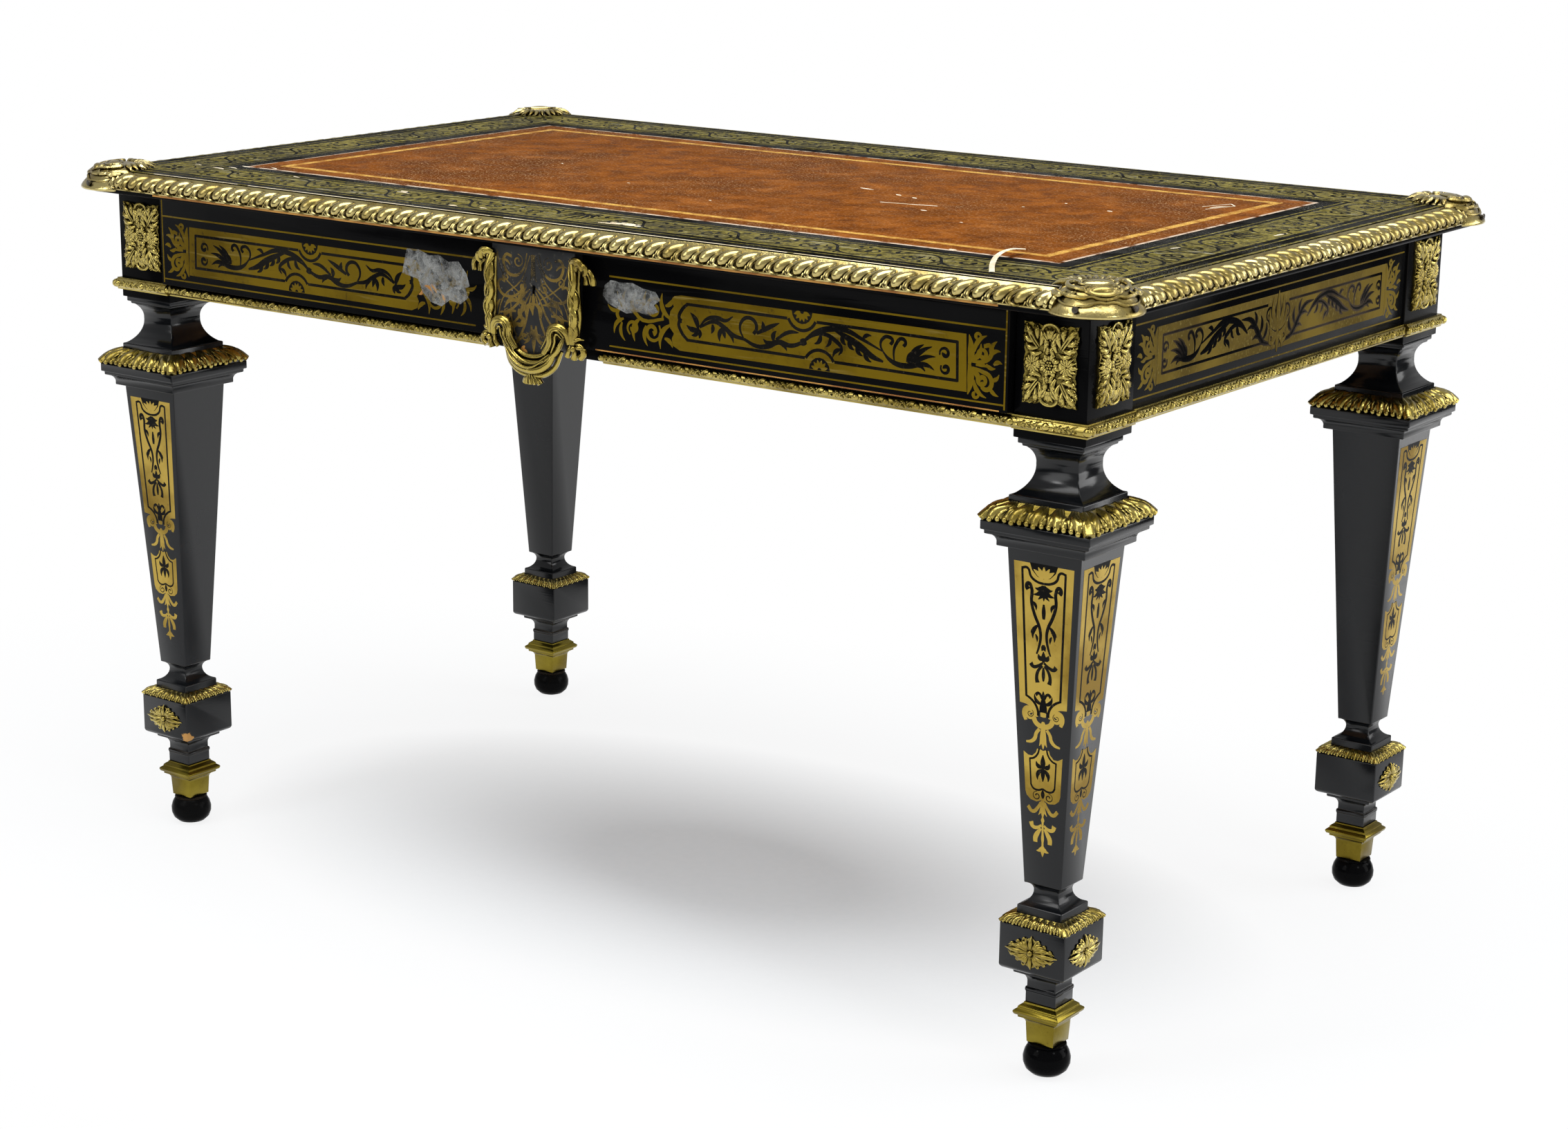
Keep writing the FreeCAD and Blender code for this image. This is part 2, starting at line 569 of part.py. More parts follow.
def make_drawer_way():
    """Runners with guides under the drawer sides, kickers above them, and stops behind."""
    rail_back = -POST_FACE_Y + APRON_RECESS + LOWER_RAIL_DEPTH
    apron_inside = POST_FACE_Y - APRON_RECESS - APRON_THICK
    guide_in = DRAWER_SIDE_OUT + 1.0
    shelf = box((RUNNER_INNER, rail_back, RUNNER_FOOT), (guide_in, apron_inside, RUNNER_TOP))
    guide = box((guide_in, -POST_INNER_Y, RUNNER_FOOT), (guide_in + GUIDE_THICK, POST_INNER_Y, GUIDE_TOP))
    runner = single(shelf.fuse(guide).removeSplitter())
    parts["drawer_runners"] = group([runner, mirrored_x(runner)])
    kicker = box((RUNNER_INNER, UPPER_RAIL_BACK, UPPER_RAIL_FOOT),
                 (DRAWER_SIDE_OUT, apron_inside, TOP_UNDERSIDE))
    parts["drawer_kickers"] = group([kicker, mirrored_x(kicker)])
    stop = box((RUNNER_INNER + 2.0, STOP_FACE, RUNNER_TOP),
               (DRAWER_SIDE_OUT - 2.0, STOP_FACE + STOP_LENGTH, STOP_TOP))
    parts["drawer_stops"] = group([stop, mirrored_x(stop)])


make_top()
make_gadroon_edges()
make_posts()
make_legs()
make_aprons()
make_frieze_mouldings()
make_drawer()
make_drawer_way()

os.makedirs("parts", exist_ok=True)
for node, shape in parts.items():
    assert shape.isValid(), node
    shape.exportStep("parts/" + node + ".step")
print(len(parts), "nodes written")
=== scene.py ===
import math

import bmesh
import bpy
from mathutils import Matrix, Vector


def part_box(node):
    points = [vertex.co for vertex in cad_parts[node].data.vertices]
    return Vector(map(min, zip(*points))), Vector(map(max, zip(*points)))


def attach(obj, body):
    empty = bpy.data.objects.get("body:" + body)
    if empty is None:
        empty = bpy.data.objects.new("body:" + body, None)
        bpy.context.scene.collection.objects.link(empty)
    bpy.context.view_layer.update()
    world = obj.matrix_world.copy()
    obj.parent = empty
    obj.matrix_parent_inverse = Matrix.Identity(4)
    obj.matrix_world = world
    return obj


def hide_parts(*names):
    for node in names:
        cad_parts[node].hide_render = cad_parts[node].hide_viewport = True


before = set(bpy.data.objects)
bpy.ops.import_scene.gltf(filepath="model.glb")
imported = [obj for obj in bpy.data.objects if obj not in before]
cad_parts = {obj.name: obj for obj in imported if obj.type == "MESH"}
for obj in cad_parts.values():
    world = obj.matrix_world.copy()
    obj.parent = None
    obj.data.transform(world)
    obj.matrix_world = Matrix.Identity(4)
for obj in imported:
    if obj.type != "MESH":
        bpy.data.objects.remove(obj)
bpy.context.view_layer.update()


# Legs: four square legs in close-grained wood, stained and polished black. Each is worked from one
# billet with its cap, ankle and block left proud of the tapered shaft. The arrises are softened and
# a little rubbed, and one block has lost a chip down to the bare wood.
CORNERS = {
    "front_left": (-1, -1),
    "front_right": (1, -1),
    "back_left": (-1, 1),
    "back_right": (1, 1),
}
LEG_ACROSS = 0.5885
LEG_ALONG = 0.3285


def add_node(tree, kind, inputs=None, **settings):
    """One shader node, its settings made and its sockets filled with numbers or joined to others."""
    made = tree.nodes.new(kind)
    for name, value in settings.items():
        setattr(made, name, value)
    for socket, value in (inputs or {}).items():
        if isinstance(value, bpy.types.NodeSocket):
            tree.links.new(value, made.inputs[socket])
        else:
            made.inputs[socket].default_value = value
    return made


def start_group(name, inputs, outputs):
    """An empty effect with number sockets, and the sockets inside it."""
    tree = bpy.data.node_groups.new(name, "ShaderNodeTree")
    for label, value in inputs.items():
        socket = tree.interface.new_socket(label, in_out="INPUT", socket_type="NodeSocketFloat")
        socket.default_value = value
    for label in outputs:
        tree.interface.new_socket(label, in_out="OUTPUT", socket_type="NodeSocketFloat")
    return tree, tree.nodes.new("NodeGroupInput").outputs, tree.nodes.new("NodeGroupOutput").inputs


def effect(tree, group, inputs=None):
    """A shared effect placed in a finish with its own values."""
    placed = add_node(tree, "ShaderNodeGroup", node_tree=group)
    for socket, value in (inputs or {}).items():
        placed.inputs[socket].default_value = value
    return placed.outputs


def spread(tree, value, low, high, to_low=0.0, to_high=1.0):
    """A value stretched from one range to another and held inside it."""
    node = add_node(tree, "ShaderNodeMapRange", {0: value, 1: low, 2: high, 3: to_low, 4: to_high})
    return node.outputs[0]


def times(tree, first, second):
    """Two masks multiplied."""
    return add_node(tree, "ShaderNodeMath", {0: first, 1: second}, operation="MULTIPLY").outputs[0]


def tint(tree, mask, below, above):
    """One colour turning to another where the mask rises."""
    node = add_node(tree, "ShaderNodeMix", {0: mask, 6: below, 7: above}, data_type="RGBA")
    return node.outputs[2]


def srgb(red, green, blue):
    """A colour as it is seen, out of 255, as the shader's own numbers."""
    seen = [part / 255 for part in (red, green, blue)]
    return [part / 12.92 if part < 0.04045 else ((part + 0.055) / 1.055) ** 2.4 for part in seen] + [1.0]


def new_finish(name, sockets):
    """A material with one shader and the sockets that are the same all over."""
    finish = bpy.data.materials.new(name)
    finish.use_nodes = True
    shader = finish.node_tree.nodes["Principled BSDF"]
    for socket, value in sockets.items():
        shader.inputs[socket].default_value = value
    return finish, finish.node_tree, shader.inputs


def paint(tree, shader, colour):
    """The shader's colour, as it changes over the surface."""
    tree.links.new(colour, shader["Base Color"])


def roughen(tree, shader, mask, low, high):
    """The shader's roughness, from one value to another where the mask rises."""
    tree.links.new(spread(tree, mask, 0.0, 1.0, low, high), shader["Roughness"])


def on_surface(tree):
    """Where a point is on the piece, in metres."""
    return add_node(tree, "ShaderNodeTexCoord").outputs["Object"]


def noise(tree, where, scale, detail, rough=0.5):
    """A cloudy value, finer as its scale rises."""
    sockets = {"Vector": where, "Scale": scale, "Detail": detail, "Roughness": rough}
    return add_node(tree, "ShaderNodeTexNoise", sockets).outputs[0]


def bumpy(tree, shader, height, strength, distance):
    """The shader's surface raised and sunk by a height."""
    node = add_node(tree, "ShaderNodeBump", {"Strength": strength, "Distance": distance, "Height": height})
    tree.links.new(node.outputs[0], shader["Normal"])


# Wear that several finishes share: cloudy patches, small specks and fine scratches
wear, given, put_out = start_group("wear", {"Size": 8.0}, ["Patches", "Specks", "Scratches"])
where = on_surface(wear)
cloud = noise(wear, where, given["Size"], 5.0)
dust = noise(wear, where, times(wear, given["Size"], 22.0), 2.0)
slant = {"Vector": where, "Rotation": (0.5, 0.3, 0.4), "Scale": (14.0, 420.0, 260.0)}
hair = noise(wear, add_node(wear, "ShaderNodeMapping", slant).outputs[0], 1.0, 2.0)
wear.links.new(spread(wear, cloud, 0.44, 0.62), put_out["Patches"])
wear.links.new(spread(wear, dust, 0.6, 0.72), put_out["Specks"])
wear.links.new(spread(wear, hair, 0.58, 0.72), put_out["Scratches"])

# Hollows, darkened by an occlusion mask: painted shade, along with the wax and dirt that stay there. Arrises,
# where hands and dusters rub
shade_and_dirt_in_hollows, given, put_out = start_group("shade_and_dirt_in_hollows", {"Reach": 0.004}, ["Hollow"])
shade = add_node(shade_and_dirt_in_hollows, "ShaderNodeAmbientOcclusion", {"Distance": given["Reach"]}, samples=6)
shade_and_dirt_in_hollows.links.new(spread(shade_and_dirt_in_hollows, shade.outputs["AO"], 0.9, 0.42), put_out["Hollow"])
arrises, given, put_out = start_group("arrises", {"Reach": 0.0012}, ["Rub"])
rounded = add_node(arrises, "ShaderNodeBevel", {"Radius": given["Reach"]}, samples=4)
facing = add_node(arrises, "ShaderNodeNewGeometry").outputs["Normal"]
both_ways = {0: rounded.outputs[0], 1: facing}
turn = add_node(arrises, "ShaderNodeVectorMath", both_ways, operation="DOT_PRODUCT").outputs["Value"]
arrises.links.new(spread(arrises, turn, 0.985, 0.88), put_out["Rub"])


def polished_black(name, sheen, tones, smooth):
    """Black stained and polished wood: its sheen, its darker and paler tone, and how smooth it is."""
    finish, tree, shader = new_finish(name, {"Specular IOR Level": sheen})
    marks = effect(tree, wear, {"Size": 7.0})
    rub = effect(tree, arrises)["Rub"]
    colour = tint(tree, marks["Patches"], srgb(*tones[0]), srgb(*tones[1]))
    colour = tint(tree, times(tree, rub, marks["Patches"]), colour, srgb(66, 56, 46))
    paint(tree, shader, colour)
    roughen(tree, shader, marks["Patches"], *smooth)
    bumpy(tree, shader, marks["Scratches"], 0.12, 0.0002)
    return finish, tree, shader, colour


# The frieze keeps its deep polish. The legs have gone greyer, and carry the chip.
black_wood = polished_black("ebonised wood", 0.025, ((9, 9, 10), (16, 16, 16)), (0.12, 0.24))[0]
leg_black, tree, shader, colour = polished_black("leg black", 0.36, ((9, 11, 14), (18, 20, 23)), (0.16, 0.3))
CHIP_AT = (-0.5525, -0.3625, 0.1150)
CHIP_REACH, CHIP_EDGE, CHIP_RAGGED = 0.0155, 0.0145, 0.014
where = on_surface(tree)
away = add_node(tree, "ShaderNodeVectorMath", {0: where, 1: CHIP_AT}, operation="DISTANCE").outputs["Value"]
ragged = {0: noise(tree, where, 260.0, 3.0), 1: CHIP_RAGGED, 2: away}
chip = add_node(tree, "ShaderNodeMath", ragged, operation="MULTIPLY_ADD").outputs[0]
paint(tree, shader, tint(tree, spread(tree, chip, CHIP_REACH, CHIP_EDGE), colour, srgb(186, 136, 68)))


def put(name, mesh, finish, body="carcass", nodes=()):
    """Make a finished mesh a piece of the table, standing for the plain nodes it is made over."""
    mesh.name = name
    mesh.materials.clear()
    mesh.materials.append(finish)
    piece = bpy.data.objects.new(name, mesh)
    bpy.context.scene.collection.objects.link(piece)
    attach(piece, body)
    if nodes:
        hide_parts(*nodes)
    return piece


def eased(node, finish, body="carcass", ease=0.0006):
    """A worked piece with its arrises softened, standing for the plain one."""
    bm = bmesh.new()
    bm.from_mesh(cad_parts[node].data)
    bmesh.ops.remove_doubles(bm, verts=bm.verts, dist=0.00001)
    bmesh.ops.dissolve_limit(bm, angle_limit=0.02, verts=bm.verts, edges=bm.edges)
    for face in bm.faces:
        face.smooth = True
    mesh = bpy.data.meshes.new(node)
    bm.to_mesh(mesh)
    bm.free()
    piece = put(node + "_worked", mesh, finish, body, [node])
    softened = piece.modifiers.new("softened arrises", "BEVEL")
    softened.width = ease
    softened.segments = 2
    softened.angle_limit = math.radians(28)
    softened.use_clamp_overlap = False
    softened.harden_normals = True


for corner in CORNERS:
    eased("leg_" + corner, leg_black, ease=0.0011)


# Ball feet: black turned balls under the shoes, each with a fine turned ring where it meets the brass
# and a small flat where it stands.
BALL_OUTLINE = ((0, 0), (8.6, 0.4), (15.6, 3.4), (20.6, 9.4), (22.9, 17), (23.1, 24.5), (21.4, 32.4))
BALL_RING = ((18.6, 38.6), (17.6, 39.6), (18.9, 40.8), (18.4, 42.6), (13, 44), (0, 44))
BALL_HIGH = 0.044


def turned(outline, steps=32):
    """A turned shape: its outline of radii and heights, in millimetres, spun about the upright."""
    bm = bmesh.new()
    rim = [bm.verts.new((radius / 1000, 0.0, height / 1000)) for radius, height in outline]
    for lower, upper in zip(rim, rim[1:]):
        bm.edges.new((lower, upper))
    bmesh.ops.spin(
        bm, geom=bm.verts[:] + bm.edges[:], axis=(0, 0, 1), cent=(0, 0, 0),
        angle=math.tau, steps=steps, use_merge=True,
    )
    bmesh.ops.remove_doubles(bm, verts=bm.verts, dist=0.00002)
    bmesh.ops.recalc_face_normals(bm, faces=bm.faces)
    mesh = bpy.data.meshes.new("turned")
    bm.to_mesh(mesh)
    bm.free()
    return mesh


def stamp(bm, mesh, matrix):
    """Add one more cast of a shape to the work, set in its place."""
    cast = mesh.copy()
    cast.transform(matrix)
    bm.from_mesh(cast)
    bpy.data.meshes.remove(cast)


def close_up(bm, name, sharp=40.0):
    """Finish the work as a mesh: faces outwards, rounded shading, crisp where it is steep."""
    bmesh.ops.recalc_face_normals(bm, faces=bm.faces)
    for face in bm.faces:
        face.smooth = True
    mesh = bpy.data.meshes.new(name)
    bm.to_mesh(mesh)
    bm.free()
    mesh.set_sharp_from_angle(angle=math.radians(sharp))
    return mesh


def set_in(name, mesh, at, sharp, finish, body="carcass", nodes=()):
    """One cast set in its place and made a piece."""
    bm = bmesh.new()
    stamp(bm, mesh, at)
    put(name, close_up(bm, name, sharp), finish, body, nodes)


ball = turned(BALL_OUTLINE + BALL_RING)
for corner, (side, end) in CORNERS.items():
    lowest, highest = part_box("ball_foot_" + corner)
    middle = Matrix.Translation((side * LEG_ACROSS, end * LEG_ALONG, lowest.z))
    stretch = Matrix.Diagonal((1.0, 1.0, (highest.z - lowest.z) / BALL_HIGH, 1.0))
    set_in("ball_foot_%s_turned" % corner, ball, middle @ stretch, 40.0, black_wood,
           nodes=["ball_foot_" + corner])

# Shoes: plain cast brass sockets, filed square and burnished, fitted over the ends of the legs.
burnished, tree, shader = new_finish("burnished brass", {"Metallic": 1.0})
marks = effect(tree, wear, {"Size": 16.0})
hollow_shade_and_dirt = effect(tree, shade_and_dirt_in_hollows, {"Reach": 0.006})["Hollow"]
colour = tint(tree, marks["Patches"], srgb(134, 119, 44), srgb(108, 93, 29))
colour = tint(tree, times(tree, marks["Specks"], marks["Patches"]), colour, srgb(92, 76, 26))
# Darker in the hollows by the occlusion mask: painted shade, along with old dirt
colour = tint(tree, hollow_shade_and_dirt, colour, srgb(48, 37, 9))
paint(tree, shader, colour)
roughen(tree, shader, marks["Patches"], 0.2, 0.36)
bumpy(tree, shader, marks["Scratches"], 0.1, 0.0002)
for corner in CORNERS:
    eased("sabot_" + corner, burnished, ease=0.0005)


# Lozenge mounts: small cast and gilt roses of long leaves round a bead, pinned to the outer faces of
# the blocks.


def gilding(name, light, dark, smooth, reach=0.0055):
    """Fire gilding on chased bronze: bright on what stands proud, with painted shade and old dirt in the
    hollows.
    """
    finish, tree, shader = new_finish(name, {"Metallic": 1.0, "Coat Weight": 0.4, "Coat Roughness": 0.1})
    marks = effect(tree, wear, {"Size": 20.0})
    hollow_shade_and_dirt = effect(tree, shade_and_dirt_in_hollows, {"Reach": reach})["Hollow"]
    colour = tint(tree, marks["Patches"], light, dark)
    colour = tint(tree, times(tree, marks["Specks"], marks["Patches"]), colour, srgb(104, 84, 30))
    # Darker in the hollows by the occlusion mask: painted shade, along with old dirt left there
    colour = tint(tree, hollow_shade_and_dirt, colour, srgb(58, 45, 12))
    paint(tree, shader, colour)
    roughen(tree, shader, marks["Patches"], *smooth)
    bumpy(tree, shader, noise(tree, on_surface(tree), 230.0, 4.0), 0.4, 0.0007)
    return finish


gilt = gilding("gilt bronze", srgb(192, 173, 90), srgb(156, 136, 54), (0.2, 0.36))


def swell(half, *points, ends=(0.2, 0.2)):
    """A drawn line, widest in its middle. Points are across, up and, where it rises, lift."""
    line = []
    for step, point in enumerate(points):
        along = step / (len(points) - 1)
        thin = ends[0] * (1 - along) + ends[1] * along
        lift = point[2] if len(point) > 2 else 0.0
        line.append((point[0], point[1], lift, half * (thin + (1 - thin) * math.sin(math.pi * along))))
    return line


def even(half, *points):
    """A drawn line of one width."""
    return [(point[0], point[1], point[2] if len(point) > 2 else 0.0, half) for point in points]


def leaf(half, base, tip, bow=0.0, lift=0.0):
    """A pointed leaf from base to tip, bowed to its left where bow is above nothing."""
    base = Vector(base).to_3d()
    run = Vector(tip).to_3d() - base
    side = Vector((-run.y, run.x, 0.0))
    line = []
    for step, width in enumerate((0.34, 0.88, 1.0, 0.62, 0.1)):
        along = step / 4
        arch = 4 * along * (1 - along)
        at = base + run * along + side * bow * arch
        line.append((at.x, at.y, at.z + lift * arch, half * width))
    return line


def curl(half, centre, radius, start, turns, inner=0.15, lift=0.0):
    """A scroll winding in to an eye. Angles are in degrees and turns against the clock are above nothing."""
    count = max(5, round(8 * abs(turns)) + 1)
    line = []
    for step in range(count):
        along = step / (count - 1)
        angle = math.radians(start) + math.tau * turns * along
        reach = radius * (1 - along * (1 - inner))
        width = half * (0.45 + 0.55 * math.sin(math.pi * min(along * 1.4, 1.0) * 0.5))
        line.append((centre[0] + reach * math.cos(angle), centre[1] + reach * math.sin(angle), lift, width))
    line[-1] = line[-1][:3] + (half * 1.25,)
    return line


def bolder(lines, by):
    """The same lines drawn wider."""
    return [[(across, up, lift, half * by) for across, up, lift, half in line] for line in lines]


def flip(lines):
    """The same lines with left and right changed over."""
    return [[(-across, *rest) for across, *rest in line] for line in lines]


def upend(lines):
    """The same lines with top and bottom changed over."""
    return [[(across, -up, *rest) for across, up, *rest in line] for line in lines]


def both(lines):
    """Half of a pattern and its other half."""
    return lines + flip(lines)


def four_ways(lines):
    """A quarter of a pattern and the other three."""
    return both(lines) + both(upend(lines))


def shift(lines, across, up):
    """The same lines moved."""
    return [[(a + across, u + up, *rest) for a, u, *rest in line] for line in lines]


def drawn(lines, flat=1.0, sides=1, steps=4):
    """Lines of points (across, up, lift, half width), in millimetres, as rounded bars in a mesh."""
    curve = bpy.data.curves.new("lines", "CURVE")
    curve.dimensions = "3D"
    curve.twist_mode = "Z_UP"
    curve.resolution_u = steps
    curve.bevel_depth = 1.0
    curve.bevel_resolution = sides
    curve.use_fill_caps = True
    for line in lines:
        spline = curve.splines.new("BEZIER")
        spline.radius_interpolation = "BSPLINE"
        spline.bezier_points.add(len(line) - 1)
        for knot, (across, up, lift, half) in zip(spline.bezier_points, line):
            knot.co = (across, up, lift / flat)
            knot.radius = half
            knot.handle_left_type = "AUTO"
            knot.handle_right_type = "AUTO"
    holder = bpy.data.objects.new("lines", curve)
    bpy.context.scene.collection.objects.link(holder)
    mesh = bpy.data.meshes.new_from_object(holder.evaluated_get(bpy.context.evaluated_depsgraph_get()))
    bpy.data.objects.remove(holder)
    bpy.data.curves.remove(curve)
    mesh.transform(Matrix.Diagonal((0.001, 0.001, 0.001 * flat, 1.0)))
    return mesh


def facing_to(at, right, up):
    """The turn and place that lay flat work on a face, given its middle, right and up."""
    right, up = Vector(right).normalized(), Vector(up).normalized()
    return Matrix.Translation(at) @ Matrix((right, up, right.cross(up))).transposed().to_4x4()


def slab(outline, thick):
    """A plate sawn to an outline of points in millimetres."""
    bm = bmesh.new()
    face = bm.faces.new([bm.verts.new((across / 1000, up / 1000, 0.0)) for across, up in outline])
    raised = bmesh.ops.extrude_face_region(bm, geom=[face])["geom"]
    rim = [part for part in raised if isinstance(part, bmesh.types.BMVert)]
    bmesh.ops.translate(bm, vec=(0.0, 0.0, thick / 1000), verts=rim)
    bmesh.ops.recalc_face_normals(bm, faces=bm.faces)
    mesh = bpy.data.meshes.new("slab")
    bm.to_mesh(mesh)
    bm.free()
    return mesh


def bead(bm, across, up, lift, radius, round_about=8):
    """A round bead, in millimetres, set on the work."""
    at = Matrix.Translation(Vector((across, up, lift)) / 1000)
    bmesh.ops.create_uvsphere(
        bm, u_segments=round_about, v_segments=round_about - 2, radius=radius / 1000, matrix=at)


quarter = [
    leaf(2.2, (4, 1.4, 2), (21.6, 4.4, 0.8), 0.12, 1.6),
    leaf(2.3, (3.4, 2.6, 2), (16.6, 7.4, 0.8), 0.16, 1.6),
    leaf(2.3, (2.6, 3.4, 2), (11, 10.6, 0.8), 0.1, 1.6),
    leaf(2, (1.6, 4, 2), (5.6, 13.6, 0.8), -0.14, 1.4),
    leaf(1.3, (14, 2.2, 2.2), (25.4, 2.6, 0.6), 0.2, 1),
    leaf(1.2, (10, 4.6, 2.4), (18.4, 4.2, 1.2), -0.2, 1),
    leaf(1.1, (6.6, 6.6, 2.4), (12.6, 8, 1.2), -0.2, 1),
    curl(1.1, (21, 4.6), 2, 200, -0.8, 0.3, 1.4),
    curl(1.1, (14.4, 8.4), 2, 220, -0.8, 0.3, 1.4),
    curl(1, (8, 12), 1.9, 240, -0.8, 0.3, 1.4),
]
spine = [leaf(2.2, (3, 0, 2.2), (28.8, 0, 0.8), 0, 1.8)]
upright = [leaf(2.2, (0, 3, 2.2), (0, 16.9, 0.8), 0, 1.6)]
bm = bmesh.new()
bm.from_mesh(drawn(four_ways(quarter) + both(spine) + upright + upend(upright), 0.62))
bead(bm, 0.0, 0.0, 2.2, 3.4)
for turn in range(10):
    angle = math.tau * turn / 10
    bead(bm, 4.9 * math.cos(angle), 4.3 * math.sin(angle), 2.0, 1.2, round_about=6)
ROSE_BACK = 1.2
half_back = [(27, 0), (18, 5.4), (9, 10.6), (0, 15.6), (-9, 10.6), (-18, 5.4), (-27, 0)]
bm.from_mesh(slab(half_back + [(-across, -up) for across, up in half_back[1:-1]], ROSE_BACK))
rose = close_up(bm, "rose", 60.0)
LOZENGE_MIDDLE = 0.1352
BLOCK_HALF = 0.0359
bm = bmesh.new()
for side, end in CORNERS.values():
    foot = Vector((side * LEG_ACROSS, end * LEG_ALONG, LOZENGE_MIDDLE))
    stamp(bm, rose, facing_to(foot + Vector((0, end * BLOCK_HALF, 0)), (-end, 0, 0), (0, 0, 1)))
    stamp(bm, rose, facing_to(foot + Vector((side * BLOCK_HALF, 0, 0)), (0, side, 0), (0, 0, 1)))
put("lozenge_roses", close_up(bm, "lozenges", 60.0), gilt, nodes=["lozenge_mounts"])

# Leaf collars on the caps and small leaf bands on the blocks: cast in one with a thin sloping backing,
# the leaves fanned out from the wood to a beaded lower edge, and dropped over the leg from above.
RIBS = 3


def leaf_ring(inner, outer, top, foot, leaves):
    """A square ring of leaves with three lobes each: half widths, heights and leaves on a side."""
    fall = math.hypot(outer - inner, top - foot)
    thick = outer / leaves / RIBS * 1.2
    lines, ends = [], []
    for place in range(leaves):
        for rib in range(RIBS):
            root = (2 * place + 0.7 + 0.3 * rib) / leaves - 1.0
            tip = (2 * place + 0.33 + 0.67 * rib) / leaves - 1.0
            proud, low = (0.17, 0.05) if rib == 1 else (0.1, 0.12)
            # From root to tip: across, up the slope, lift off it and half width
            lines.append([
                (root * inner, fall * 0.98, fall * 0.02, thick * 0.5),
                (root * inner * 0.75 + tip * outer * 0.25, fall * 0.64, fall * proud, thick * 0.8),
                (root * inner * 0.2 + tip * outer * 0.8, fall * 0.36, fall * (proud + 0.02), thick * 1.12),
                (tip * outer * 0.985, fall * (low + 0.06), fall * 0.07, thick * 0.7),
            ])
            ends.append((tip * outer * 0.985, fall * low))
        for hand in (-1, 1):
            turn = (2 * place + 1.0 + 0.62 * hand) / leaves - 1.0
            lines.append(leaf(thick * 0.34, (turn * outer * 0.8, fall * 0.7, fall * 0.12),
                              (turn * outer * 0.92, fall * 0.22, fall * 0.2), 0.1 * hand, fall * 0.08))
    for hand in (-1, 1):
        lines.append(swell(
            thick * 1.3, (hand * inner * 0.98, fall * 0.97, 0.6),
            (hand * (inner + outer) * 0.5, fall * 0.5, fall * 0.12),
            (hand * outer * 0.97, fall * 0.08, fall * 0.06), ends=(0.5, 0.8)))
    bm = bmesh.new()
    bm.from_mesh(drawn(lines, 0.6, 1, 3))
    for across, up in ends:
        bead(bm, across, up, fall * 0.08, thick * 0.6, round_about=8)
    edge, low = outer * 0.98, fall * 0.14
    bm.from_mesh(slab([(inner, fall), (-inner, fall), (-edge, low), (edge, low)], fall * 0.04))
    bmesh.ops.transform(
        bm, verts=bm.verts,
        matrix=facing_to((0.0, -outer / 1000, foot / 1000), (1, 0, 0), (0, outer - inner, top - foot)))
    side_mesh = close_up(bm, "ring side", 60.0)
    bm = bmesh.new()
    for quarter_turn in range(4):
        stamp(bm, side_mesh, Matrix.Rotation(math.pi / 2 * quarter_turn, 4, "Z"))
    return close_up(bm, "ring", 60.0)


def on_each_leg(name, ring, node):
    """The same ring on all four legs."""
    bm = bmesh.new()
    for side, end in CORNERS.values():
        stamp(bm, ring, Matrix.Translation((side * LEG_ACROSS, end * LEG_ALONG, 0.0)))
    put(name, close_up(bm, name, 60.0), gilt, nodes=[node])


on_each_leg("leaf_collars_cast", leaf_ring(inner=39.8, outer=59.3, top=566.5, foot=550.4, leaves=5),
            "leaf_collars")
on_each_leg("foot_block_bands_cast", leaf_ring(inner=24.9, outer=37.0, top=166.6, foot=158.5, leaves=7),
            "foot_block_bands")


# Leg inlay: sheet brass sawn to a pattern and glued flush into the outer faces of the shafts, with the
# black ground showing through it as stems and husks. The brass is rubbed bright on the legs.
leg_brass, tree, shader = new_finish("leg brass", {"Metallic": 0.85})
marks = effect(tree, wear, {"Size": 12.0})
colour = tint(tree, marks["Patches"], srgb(192, 163, 75), srgb(138, 111, 38))
colour = tint(tree, times(tree, marks["Specks"], marks["Patches"]), colour, srgb(142, 112, 42))
paint(tree, shader, colour)
roughen(tree, shader, marks["Patches"], 0.34, 0.5)
bumpy(tree, shader, marks["Scratches"], 0.14, 0.0002)

black_ground, tree, shader = new_finish("black ground", {"Specular IOR Level": 0.05})
marks = effect(tree, wear, {"Size": 14.0})
colour = tint(tree, marks["Patches"], srgb(15, 14, 13), srgb(27, 25, 21))
paint(tree, shader, tint(tree, marks["Specks"], colour, srgb(50, 44, 35)))
roughen(tree, shader, marks["Patches"], 0.22, 0.36)
bumpy(tree, shader, marks["Scratches"], 0.12, 0.0002)


def lifted(mesh, by):
    """The same work set some millimetres off its face."""
    mesh.transform(Matrix.Translation((0.0, 0.0, by / 1000)))
    return mesh


def arc(centre, radius, start, end, count=9):
    """Points round part of a circle, the angles in degrees."""
    turns = [math.radians(start + (end - start) * step / (count - 1)) for step in range(count)]
    return [(centre[0] + radius * math.cos(turn), centre[1] + radius * math.sin(turn)) for turn in turns]


